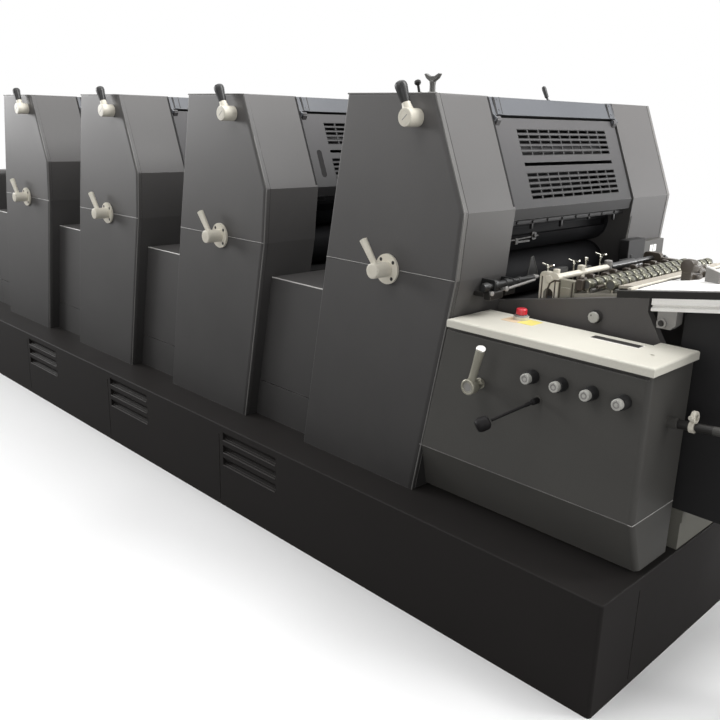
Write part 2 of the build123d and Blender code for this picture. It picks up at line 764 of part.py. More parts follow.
with BuildPart() as feeder_sides:
    with BuildSketch(at_y(near_plate_y + side_t)):
        with BuildLine():
            Polyline(*side_upper, (unit_1 + plate_low_out, plate_low_z),
                     (unit_1 + plate_foot_out, plinth_h), close=True)
        make_face()
    extrude(amount=side_t)
    with BuildSketch(at_y(near_plate_y)):
        with Locations((plate_knob_x, plate_knob_z)):
            Circle(ctrl_pin_r)
    extrude(amount=plate_knob_r)
    with BuildSketch(at_y(far_plate_y)):
        with BuildLine():
            Polyline(*side_upper, (unit_1 + far_plate_out, board_z(unit_1 + far_plate_out, -rail_h - edge_h)),
                     (unit_1 + far_plate_out, plinth_h), close=True)
        make_face()
    extrude(amount=side_t)
feeder_sides.part.label = "feeder_sides"
export_step(feeder_sides.part, "parts/feeder_sides.step")

with BuildPart() as plate_knob:
    with BuildSketch(at_y(near_plate_y - side_gap / 2)):
        with Locations((plate_knob_x, plate_knob_z)):
            Circle(plate_knob_r)
    extrude(amount=plate_knob_len)
    chamfer(plate_knob.faces().sort_by(Axis.Y)[0].edges(), length=knob_edge)
    with BuildSketch(at_y(near_plate_y)):
        with Locations((plate_knob_x, plate_knob_z)):
            Circle(ctrl_pin_r + hinge_clear)
    extrude(amount=plate_knob_r + gap, mode=Mode.SUBTRACT)
plate_knob.part.label = "plate_knob"
export_step(plate_knob.part, "parts/plate_knob.step")

# Feed board between the plates, with a dark rail along each side
board_len = 320
board_t = 12
board_left = unit_1 + board_out
board_right = board_left + board_len
rail_right = -plinth_left
rail_w = 26
board_y0, board_y1 = near_plate_y + rail_w, far_plate_y - rail_w
with BuildPart() as feed_rails:
    for y in (board_y0, far_plate_y):
        with BuildSketch(at_y(y)):
            with BuildLine():
                Polyline((rail_left, board_z(rail_left, -rail_h)), (rail_right, board_z(rail_right, -rail_h)),
                         (rail_right, board_z(rail_right)), (rail_left, board_z(rail_left)), close=True)
            make_face()
        extrude(amount=rail_w)
feed_rails.part.label = "feed_rails"
export_step(feed_rails.part, "parts/feed_rails.step")

with BuildPart() as feed_board:
    with BuildSketch(at_y(board_y1)):
        with BuildLine():
            Polyline((board_left, board_z(board_left, -gap - board_t)),
                     (board_right, board_z(board_right, -gap - board_t)),
                     (board_right, board_z(board_right, -gap)),
                     (board_left, board_z(board_left, -gap)), close=True)
        make_face()
    extrude(amount=board_y1 - board_y0)
feed_board.part.label = "feed_board"
export_step(feed_board.part, "parts/feed_board.step")

# Cross bars: flat bar before the board, and the feeder head's beam on its posts
bar_w = 13
bar_up = 4
bar_down = 8
head_in = 360                # feeder head, from the board's left end
head_w = 80
head_h = 90
head_up = 95                 # underside of the head's beam above the rails
post_w = 20
head_x = board_left + head_in
with BuildPart() as cross_bars:
    with BuildSketch(at_y(board_y1)):
        with BuildLine():
            Polyline((board_left - bar_w, board_z(board_left, -bar_down)),
                     (board_left - gap, board_z(board_left, -bar_down)),
                     (board_left - gap, board_z(board_left, bar_up)),
                     (board_left - bar_w, board_z(board_left, bar_up)), close=True)
        make_face()
    extrude(amount=board_y1 - board_y0)
    with Locations((head_x, (near_plate_y + far_plate_y) / 2, board_z(head_x, head_up + head_h / 2))):
        Box(head_w, far_plate_y - near_plate_y, head_h)
    beam_low = board_z(head_x, head_up + gap)
    beam = cross_bars.edges().filter_by(Axis.Y).filter_by(lambda e: e.center().Z > beam_low)
    fillet(beam, radius=head_w / 5)
    for y in (board_y0, far_plate_y):
        with BuildSketch(at_y(y)):
            with BuildLine():
                Polyline((head_x - post_w, board_z(head_x - post_w)),
                         (head_x + post_w, board_z(head_x + post_w)),
                         (head_x + post_w, board_z(head_x, head_up + gap)),
                         (head_x - post_w, board_z(head_x, head_up + gap)), close=True)
            make_face()
        extrude(amount=rail_w)
cross_bars.part.label = "cross_bars"
export_step(cross_bars.part, "parts/cross_bars.step")

# Dark drive box on the feed board
drive_in = 14
drive_len = 62
drive_h = 62
drive_w = 138
drive_back = 343             # far end of the box from the far plate
drive_round = 14
drive_x = board_left + drive_in
with BuildPart() as drive_box:
    with BuildSketch(at_y(far_plate_y - drive_back)):
        with BuildLine():
            Polyline((drive_x, board_z(drive_x, -gap)),
                     (drive_x + drive_len, board_z(drive_x + drive_len, -gap)),
                     (drive_x + drive_len, board_z(drive_x + drive_len, drive_h - drive_round)),
                     (drive_x + drive_len - drive_round, board_z(drive_x, drive_h)),
                     (drive_x, board_z(drive_x, drive_h)), close=True)
        make_face()
    extrude(amount=drive_w)
drive_box.part.label = "drive_box"
export_step(drive_box.part, "parts/drive_box.step")

# Table edges under the rails: white upper band, groove and lower band
edge_w = 60
band_h = 18
low_band_top = 46
low_band_bottom = 56
web_in = 8
web_top = 30
web_low = 50
with BuildPart() as table_edges:
    for y in (near_plate_y + edge_w, far_plate_y):
        for top, low in ((rail_h, rail_h + band_h), (low_band_top, low_band_bottom)):
            with BuildSketch(at_y(y)):
                with BuildLine():
                    Polyline((table_left, board_z(table_left, -low)), (rail_right, board_z(rail_right, -low)),
                             (rail_right, board_z(rail_right, -top)), (table_left, board_z(table_left, -top)),
                             close=True)
                make_face()
            extrude(amount=edge_w)
        with BuildSketch(at_y(y - (web_in if y < 0 else 0))):
            with BuildLine():
                Polyline((table_left, board_z(table_left, -web_low)),
                         (rail_right, board_z(rail_right, -web_low)),
                         (rail_right, board_z(rail_right, -web_top)),
                         (table_left, board_z(table_left, -web_top)), close=True)
            make_face()
        extrude(amount=edge_w - 2 * web_in)
table_edges.part.label = "table_edges"
export_step(table_edges.part, "parts/table_edges.step")

# Bracket with a round tube end, hanging under the near table edge
bracket_in = 22              # from the table edge's left end
bracket_len = 54
bracket_h = 46
bracket_t = 40
tube_r = 14
tube_bore_r = 9
tube_out = 8
tube_deep = 30
bracket_x = table_left + bracket_in
tube_x, tube_z = bracket_x + tube_r + gap, board_z(bracket_x, -low_band_bottom - bracket_h + tube_r + gap)
with BuildPart() as tube_bracket:
    with BuildSketch(at_y(near_plate_y + bracket_t)):
        with BuildLine():
            Polyline((bracket_x, board_z(bracket_x, -low_band_bottom)),
                     (bracket_x + bracket_len, board_z(bracket_x + bracket_len, -low_band_bottom)),
                     (bracket_x + bracket_len, board_z(bracket_x, -low_band_bottom - bracket_h + tube_r)),
                     (bracket_x + bracket_len - tube_r, board_z(bracket_x, -low_band_bottom - bracket_h)),
                     (bracket_x, board_z(bracket_x, -low_band_bottom - bracket_h)), close=True)
        make_face()
    extrude(amount=bracket_t)
    with BuildSketch(at_y(near_plate_y)):
        with Locations((tube_x, tube_z)):
            Circle(tube_r)
    extrude(amount=tube_out)
    with BuildSketch(at_y(near_plate_y - tube_out)):
        with Locations((tube_x, tube_z)):
            Circle(tube_bore_r)
    extrude(amount=-tube_deep, mode=Mode.SUBTRACT)
tube_bracket.part.label = "tube_bracket"
export_step(tube_bracket.part, "parts/tube_bracket.step")

# Front lay bar with arched end blocks and a cheek panel beside each
lay_r = 10
block_w = 22
block_up = 21                # block's top above the bar's axis
block_low = 80
arch_r = 17
arch_low = 30                # arch's crown below the bar's axis
cheek_len = 56
cheek_top = 8
bar_x, bar_z = unit_1 + lay_out, joint_z
lay_y0, lay_y1 = near_plate_y + side_t, far_plate_y - side_t
with BuildPart() as lay_bar:
    with BuildSketch(at_y(lay_y1)):
        with Locations((bar_x, bar_z)):
            Circle(lay_r)
    extrude(amount=lay_y1 - lay_y0)
    for y in (lay_y0 + block_w, lay_y1):
        with BuildSketch(at_y(y)):
            with BuildLine():
                Polyline((bar_x - block_half, bar_z - block_low), (bar_x - block_half, bar_z + block_up),
                         (bar_x + block_half, bar_z + block_up),
                         (bar_x + block_half, bar_z - block_low), close=True)
            make_face()
            with Locations((bar_x, bar_z - arch_low - arch_r)):
                Circle(arch_r, mode=Mode.SUBTRACT)
            with Locations((bar_x, bar_z - (arch_low + arch_r + block_low) / 2)):
                Rectangle(2 * arch_r, block_low - arch_low - arch_r, mode=Mode.SUBTRACT)
            with Locations((bar_x + block_half + cheek_len / 2, bar_z + (cheek_top - block_low) / 2)):
                Rectangle(cheek_len, block_low + cheek_top)
        extrude(amount=block_w)
    rims = lay_bar.edges().filter_by(Axis.Y).filter_by(lambda e: e.center().Z > bar_z + block_up - 1)
    fillet(rims, radius=block_w / 2)
lay_bar.part.label = "lay_bar"
export_step(lay_bar.part, "parts/lay_bar.step")

# Ribbed plate under the roller rows, with a stem for each roller
roller_plate_t = 26
roller_drop = 14             # plate's top below the board's line
row_in = 76                  # first row, from the plate's left end
row_pitch = 80
roller_r = 14
roller_w = 28
roller_pitch = 46
roller_first = 36            # first and last roller from the side plates
roller_last = 16
roller_up = 10
stem_r = 7
plate_left = bar_x + block_half + plate_after
plate_right = plate_left + plate_len
roller_rows = [plate_left + row_in + row_pitch * n for n in range(2)]
roller_count = 1 + int((lay_y1 - lay_y0 - roller_first - roller_last + gap) / roller_pitch)
roller_y = [lay_y0 + roller_first + roller_pitch * n for n in range(roller_count)]
with BuildPart() as roller_plate:
    with BuildSketch(at_y(lay_y1)):
        with BuildLine():
            Polyline((plate_left, board_z(plate_left, -roller_drop - roller_plate_t)),
                     (plate_right, board_z(plate_right, -roller_drop - roller_plate_t)),
                     (plate_right, board_z(plate_right, -roller_drop)),
                     (plate_left, board_z(plate_left, -roller_drop)), close=True)
        make_face()
    extrude(amount=lay_y1 - lay_y0)
    for y in (lay_y0 + block_w, lay_y1):
        with Locations((bar_x + block_half + cheek_len / 2, y - block_w / 2, bar_z)):
            Box(cheek_len + 2 * gap, block_w + 2 * gap, 4 * block_low, mode=Mode.SUBTRACT)
    for rx in roller_rows:
        with BuildSketch(Plane.XY.offset(board_z(rx, -roller_drop - stem_r))):
            with Locations(*[(rx, ry) for ry in roller_y]):
                Circle(stem_r)
        extrude(amount=roller_drop + stem_r + roller_up - roller_r - seat_gap)
roller_plate.part.label = "roller_plate"
export_step(roller_plate.part, "parts/roller_plate.step")

# Two rows of chrome rollers, one over each stem
with BuildPart() as sheet_rollers:
    for rx in roller_rows:
        for ry in roller_y:
            with BuildSketch(at_y(ry + roller_w / 2)):
                with Locations((rx, board_z(rx, roller_up))):
                    Circle(roller_r)
            extrude(amount=roller_w)
sheet_rollers.part.label = "sheet_rollers"
export_step(sheet_rollers.part, "parts/sheet_rollers.step")

# Small deck plate on the plinth's right end
deck_in = 38                 # centre from the plinth's end
deck_w = 76
deck_len = 282
deck_t = 38
deck_foot = 90
deck_edge = 6
deck_y = lay_y0 + deck_len / 2 + gap
deck_z = plinth_h + deck_foot + deck_t
with BuildPart() as deck_plate:
    with BuildSketch(Plane.XY.offset(plinth_h)):
        with Locations((plinth_right - deck_in, deck_y)):
            Rectangle(deck_w - 2 * deck_edge, deck_len - 2 * deck_edge)
    extrude(amount=deck_foot)
    with BuildSketch(Plane.XY.offset(deck_z - deck_t)):
        with Locations((plinth_right - deck_in, deck_y)):
            Rectangle(deck_w, deck_len)
    extrude(amount=deck_t)
    fillet(deck_plate.faces().sort_by(Axis.Z)[-1].edges(), radius=deck_edge)
deck_plate.part.label = "deck_plate"
export_step(deck_plate.part, "parts/deck_plate.step")

# Feeder pile frame beyond the photo's right edge: legs to the floor under the table edges
frame_after = 10             # beside the tube bracket
frame_leg = 80
frame_lean = 20
frame_t = 25
frame_left = bracket_x + bracket_len + frame_after
frame_outline = [(frame_left, deck_z), (frame_left, board_z(frame_left, -low_band_bottom)),
                 (rail_right, board_z(rail_right, -low_band_bottom)), (rail_right, 0),
                 (rail_right - frame_leg, 0), (rail_right - frame_leg - frame_lean, deck_z)]
with BuildPart() as pile_frame:
    for y in (near_plate_y + edge_w - hub_edge, lay_y1 - gap):
        with BuildSketch(at_y(y)):
            with BuildLine():
                Polyline(*frame_outline, close=True)
            make_face()
        extrude(amount=frame_t)
pile_frame.part.label = "pile_frame"
export_step(pile_frame.part, "parts/pile_frame.step")

# Delivery, beyond the photo's left edge: housing with a sloping hood, and side frames
hood_h = 829
hood_flat = 130
hood_drop = 80
housing_len = 230
frame_w = 50
frame_drop = 80
hood_round = 30
housing_left = delivery_right - housing_len
hood_z = plinth_h + hood_h
with BuildPart() as delivery_housing:
    with BuildSketch(at_y(-step_front)):
        with BuildLine():
            Polyline((delivery_right, plinth_h), (delivery_right, hood_z),
                     (delivery_right - hood_flat, hood_z),
                     (housing_left, hood_z - hood_drop), (housing_left, plinth_h), close=True)
        make_face()
    extrude(amount=-2 * step_front)
    hood_low = hood_z - hood_drop - 1
    hood = delivery_housing.edges().filter_by(Axis.Y).filter_by(lambda e: e.center().Z > hood_low)
    fillet(hood, radius=hood_round)
    for y in (step_front, -step_front):
        with Locations(((delivery_right + housing_left) / 2, y, plinth_h + step_seam)):
            Box(2 * housing_len, 2 * groove_deep, groove_h, mode=Mode.SUBTRACT)
delivery_housing.part.label = "delivery_housing"
export_step(delivery_housing.part, "parts/delivery_housing.step")

with BuildPart() as delivery_sides:
    for y in (step_front + frame_w, -step_front):
        with BuildSketch(at_y(y)):
            with BuildLine():
                Polyline((housing_left, plinth_h), (housing_left, hood_z - hood_drop - hood_round),
                         (plinth_left, hood_z - hood_drop - frame_drop), (plinth_left, plinth_h), close=True)
            make_face()
        extrude(amount=frame_w)
    corner = delivery_sides.edges().filter_by(Axis.Y).filter_by(
        lambda e: e.center().Z > hood_z - hood_drop - frame_drop - 1 and e.center().X < plinth_left + 1)
    fillet(corner, radius=2 * hood_round)
delivery_sides.part.label = "delivery_sides"
export_step(delivery_sides.part, "parts/delivery_sides.step")

# Paper piles on their boards: one in the delivery, one in the feeder between the pile frames
pile_board_t = 40
deliv_side = 93              # delivery's pile board from the side frames
deliv_edge = 90              # paper from the board's ends
deliv_board_w = 2 * (-step_front - frame_w - deliv_side)
deliv_paper_w = deliv_board_w - 2 * deliv_edge
deliv_paper_h = 300
paper_in = 10
paper_over = 16              # feeder's paper above the rails' line
feed_board_up = 330          # middle of the feeder's pile board above the deck
feed_gap = 30
feed_y0 = near_plate_y + edge_w - hub_edge
feed_y1 = lay_y1 - gap - frame_t
feed_x0 = board_right + feed_gap
feed_pile_z = deck_z + feed_board_up
feed_paper_low = feed_pile_z + pile_board_t / 2
feed_paper_h = board_z(feed_x0, paper_over) - feed_paper_low
with BuildPart() as paper_piles:
    deliv_len = housing_left - plinth_left - 2 * paper_in
    deliv_x = (housing_left + plinth_left) / 2
    with Locations((deliv_x, 0, plinth_h + pile_board_t / 2)):
        Box(deliv_len, deliv_board_w, pile_board_t)
    with Locations((deliv_x, 0, plinth_h + pile_board_t + deliv_paper_h / 2)):
        Box(deliv_len - 2 * paper_in, deliv_paper_w, deliv_paper_h)
    with Locations(((feed_x0 + rail_right) / 2, (feed_y0 + feed_y1) / 2, feed_pile_z)):
        Box(rail_right - feed_x0, feed_y1 - feed_y0, pile_board_t)
    with Locations(((feed_x0 + rail_right) / 2, (feed_y0 + feed_y1) / 2, feed_paper_low + feed_paper_h / 2)):
        Box(rail_right - feed_x0 - 2 * paper_in, feed_y1 - feed_y0 - 4 * paper_in, feed_paper_h)
paper_piles.part.label = "paper_piles"
export_step(paper_piles.part, "parts/paper_piles.step")
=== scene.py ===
import math
import bpy
import numpy as np
from mathutils import Matrix, Vector


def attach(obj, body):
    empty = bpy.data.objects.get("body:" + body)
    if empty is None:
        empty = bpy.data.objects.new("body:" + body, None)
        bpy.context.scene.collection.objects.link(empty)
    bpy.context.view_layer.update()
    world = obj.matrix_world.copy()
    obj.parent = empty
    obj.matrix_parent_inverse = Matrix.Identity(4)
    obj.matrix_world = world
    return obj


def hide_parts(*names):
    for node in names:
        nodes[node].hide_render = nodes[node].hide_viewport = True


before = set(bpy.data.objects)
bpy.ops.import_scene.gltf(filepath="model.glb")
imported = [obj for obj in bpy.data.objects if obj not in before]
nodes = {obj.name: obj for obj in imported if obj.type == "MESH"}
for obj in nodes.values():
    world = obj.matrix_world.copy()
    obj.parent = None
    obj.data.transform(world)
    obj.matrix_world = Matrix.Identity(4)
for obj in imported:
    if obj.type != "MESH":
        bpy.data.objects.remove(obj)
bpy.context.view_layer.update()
scene = bpy.context.scene
print("frame loaded:", len(nodes), "nodes")


def addObject(name, data):
    item = bpy.data.objects.new(name, data)
    scene.collection.objects.link(item)
    return item


# Camera at the photograph's place: metres, degrees, and millimetres of lens
view = {"place": (3.062, -2.526, 1.539), "yaw": 45.34, "pitch": 16.55, "roll": -1.53, "lens": 40.44, "sensor": 36}
yaw, pitch, roll = (math.radians(view[k]) for k in ("yaw", "pitch", "roll"))
ahead = Vector((-math.sin(yaw) * math.cos(pitch), math.cos(yaw) * math.cos(pitch), -math.sin(pitch)))
flatRight = ahead.cross(Vector((0, 0, 1))).normalized()
flatDown = ahead.cross(flatRight)
imageRight = math.cos(roll) * flatRight + math.sin(roll) * flatDown
imageUp = math.sin(roll) * flatRight - math.cos(roll) * flatDown
camData = bpy.data.cameras.new("photoCamera")
camData.lens, camData.sensor_width, camData.sensor_fit = view["lens"], view["sensor"], "HORIZONTAL"
scene.camera = addObject("photoCamera", camData)
turn = Matrix((imageRight, imageUp, -ahead)).transposed().to_4x4()
scene.camera.matrix_world = Matrix.Translation(view["place"]) @ turn
scene.view_settings.view_transform = "Standard"

# Soft studio: each lamp's name, place, aim, size in metres and power in watts
studio = {
    "lamps": [
        ("feederLamp", (4.2, 3.5, 1.5), (1.4, 0.3, 1.2), 1.6, 110),
        ("highLamp", (3.8, 1.6, 4.9), (-0.2, 0.0, 1.3), 2.4, 250),
        ("endLamp", (6.2, 0.4, 1.9), (1.2, 0.0, 1.1), 2.6, 76),
        ("frontLamp", (0.2, -4.6, 4.8), (-0.4, 0.0, 1.3), 3.0, 62),
        ("deliveryLamp", (-7.2, -3.6, 2.9), (-1.6, -0.6, 1.4), 2.8, 350),
        ("consoleLamp", (4.4, -4.8, 1.7), (1.9, -0.5, 0.9), 2.0, 56),
        ("topLamp", (-0.2, 0.0, 4.6), (-0.2, 0.0, 0.0), 4.5, 170),
        ("backLamp", (-2.5, 5.0, 3.0), (-0.6, 0.0, 0.9), 3.0, 70)],
    "ambient": 0.22, "floorHalf": 30.0, "floorSeen": (0.93, 0.93, 0.93), "floorBounce": (0.30, 0.30, 0.30),
    "floorFade": (3.5, 7.0)}
for name, place, aim, size, power in studio["lamps"]:
    lampData = bpy.data.lights.new(name, "AREA")
    lampData.shape, lampData.size, lampData.energy = "SQUARE", size, power
    lamp = addObject(name, lampData)
    lamp.location = place
    lamp.rotation_euler = (Vector(aim) - Vector(place)).to_track_quat("-Z", "Y").to_euler()


# Shader nodes: each input is linked where its value is a socket, and set where it isn't
def addNode(tree, kind, values=None, **settings):
    node = tree.nodes.new("ShaderNode" + kind)
    for key, value in settings.items():
        setattr(node, key, value)
    for key, value in (values or {}).items():
        if isinstance(value, bpy.types.NodeSocket):
            tree.links.new(value, node.inputs[key])
        else:
            node.inputs[key].default_value = value
    return node


def calc(tree, operation, *values, **settings):
    return addNode(tree, "Math", dict(enumerate(values)), operation=operation, **settings).outputs[0]


def remap(tree, value, low, high, toLow=0.0, toHigh=1.0):
    values = {"Value": value, "From Min": low, "From Max": high, "To Min": toLow, "To Max": toHigh}
    return addNode(tree, "MapRange", values).outputs[0]


def noise(tree, place, scale, detail, rough=0.5):
    values = {"Vector": place, "Scale": scale, "Detail": detail, "Roughness": rough}
    return addNode(tree, "TexNoise", values).outputs["Fac"]


def mixColor(tree, factor, a, b):
    return addNode(tree, "Mix", {0: factor, 6: a, 7: b}, data_type="RGBA").outputs[2]


def freshTree(owner):
    owner.use_nodes = True
    owner.node_tree.nodes.clear()
    return owner.node_tree


# World: a weak ambient lights the press, and the camera and mirrored rays see white
scene.world = bpy.data.worlds.new("studioWorld")
sky = freshTree(scene.world)
rays = addNode(sky, "LightPath").outputs
mirrored = calc(sky, "MAXIMUM", rays["Is Glossy Ray"], rays["Is Transmission Ray"])
seen = calc(sky, "MAXIMUM", rays["Is Camera Ray"], mirrored)
lit = addNode(sky, "Background", {"Strength": studio["ambient"]})
pale = addNode(sky, "Background", {"Color": (1, 1, 1, 1)})
mixed = addNode(sky, "MixShader", {0: seen, 1: lit.outputs[0], 2: pale.outputs[0]})
addNode(sky, "OutputWorld", {"Surface": mixed.outputs[0]})
print("camera and studio ready")


# Node group for an effect that many finishes share, with named sockets that are floats unless they say otherwise
def newGroup(name, inputs, outputs):
    tree = bpy.data.node_groups.new(name, "ShaderNodeTree")
    for way, sockets in (("INPUT", inputs), ("OUTPUT", outputs)):
        for socket in sockets.split():
            label, _, kind = socket.partition(":")
            tree.interface.new_socket(label, in_out=way, socket_type="NodeSocket" + (kind or "Float"))
    return tree, tree.nodes.new("NodeGroupInput").outputs, tree.nodes.new("NodeGroupOutput").inputs


def useGroup(tree, group, **values):
    return addNode(tree, "Group", values, node_tree=group).outputs


# What all finishes share: lengths in metres, noise scales per metre
surface = {"fleck": 260.0, "speckle": 0.06, "gainHeights": (0.45, 1.55), "edgeTurn": (0.995, 0.9), "breakup": 30.0,
           "chipped": (0.42, 0.62), "facingUp": (0.3, 0.95), "patches": 6.0, "patchy": (0.3, 0.75), "grain": 300.0,
           "relief": 0.0004, "roughSpread": 0.07}

# Slow drift of tone over a panel, the fine speckle of sprayed paint, and painted shade by height: a gain that darkens
# a panel towards the bottom and lightens it towards the top, as light from above would
toneAndShadeGroup, given, result = newGroup("toneDriftAndHeightShade", "Place:Vector Base:Color Drift Speckle Size LowGain HighGain",
                                    "Color:Color Cloud")
cloud = noise(toneAndShadeGroup, given["Place"], given["Size"], 5.0, 0.6)
fleck = noise(toneAndShadeGroup, given["Place"], surface["fleck"], 2.0)
shifts = [calc(toneAndShadeGroup, "MULTIPLY", calc(toneAndShadeGroup, "SUBTRACT", fac, 0.5), given[amount])
          for fac, amount in ((cloud, "Drift"), (fleck, "Speckle"))]
gain = calc(toneAndShadeGroup, "MULTIPLY_ADD", calc(toneAndShadeGroup, "ADD", *shifts), 2.0, 1.0)
height = addNode(toneAndShadeGroup, "SeparateXYZ", {0: given["Place"]}).outputs["Z"]
byHeight = remap(toneAndShadeGroup, height, *surface["gainHeights"], given["LowGain"], given["HighGain"])
toned = addNode(toneAndShadeGroup, "VectorMath", {0: given["Base"], "Scale": calc(toneAndShadeGroup, "MULTIPLY", gain, byHeight)},
                operation="SCALE")
toneAndShadeGroup.links.new(toned.outputs[0], result["Color"])
toneAndShadeGroup.links.new(cloud, result["Cloud"])

# Worn edges with painted edge highlights: the wear colour where a rounded normal leaves the real one, broken up by
# noise
wearAndHighlightGroup, given, result = newGroup("edgeWearAndHighlight", "Place:Vector Radius Amount", "Mask")
rounded = addNode(wearAndHighlightGroup, "Bevel", {"Radius": given["Radius"]}, samples=4).outputs["Normal"]
real = addNode(wearAndHighlightGroup, "NewGeometry").outputs["Normal"]
same = addNode(wearAndHighlightGroup, "VectorMath", {0: rounded, 1: real}, operation="DOT_PRODUCT").outputs["Value"]
chips = noise(wearAndHighlightGroup, given["Place"], surface["breakup"], 6.0, 0.7)
edge = calc(wearAndHighlightGroup, "MULTIPLY", remap(wearAndHighlightGroup, same, *surface["edgeTurn"]),
            remap(wearAndHighlightGroup, chips, *surface["chipped"]))
wearAndHighlightGroup.links.new(calc(wearAndHighlightGroup, "MULTIPLY", edge, given["Amount"], use_clamp=True), result["Mask"])

# Dust that settles on what faces up, and smears on the rest
dustGroup, given, result = newGroup("dustFilm", "Place:Vector Facing:Vector Amount Smear", "Mask")
facing = addNode(dustGroup, "SeparateXYZ", {0: given["Facing"]}).outputs["Z"]
patchy = remap(dustGroup, noise(dustGroup, given["Place"], surface["patches"], 8.0, 0.65), *surface["patchy"])
settled = calc(dustGroup, "MULTIPLY", remap(dustGroup, facing, *surface["facingUp"]), given["Amount"])
smear = calc(dustGroup, "MULTIPLY", patchy, given["Smear"])
both = calc(dustGroup, "ADD", calc(dustGroup, "MULTIPLY", settled, patchy), smear, use_clamp=True)
dustGroup.links.new(both, result["Mask"])

# Fine relief: orange peel of paint, or the brushed lines of bare metal
reliefGroup, given, result = newGroup("fineRelief", "Place:Vector Grain Brush Way:Vector", "Height")
stretched = addNode(reliefGroup, "VectorMath", {0: given["Place"], 1: given["Way"]}, operation="MULTIPLY")
lines = noise(reliefGroup, stretched.outputs[0], 1.0, 2.0)
peel = noise(reliefGroup, given["Place"], given["Grain"], 1.5)
chosen = addNode(reliefGroup, "Mix", {0: given["Brush"], 2: peel, 3: lines}, data_type="FLOAT")
reliefGroup.links.new(chosen.outputs[0], result["Height"])

paleDust = (0.42, 0.40, 0.36)


# One finish: base colour with drift and painted shade by height, worn edges with painted edge highlights, dust and
# relief on a Principled shader
def makeFinish(name, base, rough, metal=0.0, drift=0.16, size=1.3, wear=(), wearRadius=0.003, dust=(0.1, *paleDust),
               smear=0.06, brush=0.0, bump=0.15, level=0.3, byHeight=(1.0, 1.0), brushWay=(60.0, 900.0, 900.0)):
    material = bpy.data.materials.new(name)
    tree = freshTree(material)
    spot = addNode(tree, "TexCoord").outputs
    place = spot["Object"]
    tone = useGroup(tree, toneAndShadeGroup, Place=place, Base=(*base, 1), Drift=drift, Speckle=surface["speckle"], Size=size,
                    LowGain=byHeight[0], HighGain=byHeight[1])
    color = tone["Color"]
    if wear:
        mask = useGroup(tree, wearAndHighlightGroup, Place=place, Radius=wearRadius, Amount=wear[0])["Mask"]
        color = mixColor(tree, mask, color, (*wear[1:], 1))
    film = useGroup(tree, dustGroup, Place=place, Facing=spot["Normal"], Amount=dust[0], Smear=smear)["Mask"]
    color = mixColor(tree, film, color, (*dust[1:], 1))
    relief = useGroup(tree, reliefGroup, Place=place, Grain=surface["grain"], Brush=brush, Way=brushWay)["Height"]
    raised = addNode(tree, "Bump", {"Strength": bump, "Distance": surface["relief"], "Height": relief})
    spread = surface["roughSpread"]
    uneven = remap(tree, tone["Cloud"], 0.2, 0.8, max(0.05, rough - spread), min(1.0, rough + spread))
    shader = addNode(tree, "BsdfPrincipled", {
        "Base Color": color, "Roughness": uneven, "Metallic": metal, "Normal": raised.outputs[0]})
    shader.inputs["Specular IOR Level"].default_value = level
    addNode(tree, "OutputMaterial", {"Surface": shader.outputs[0]})
    return material
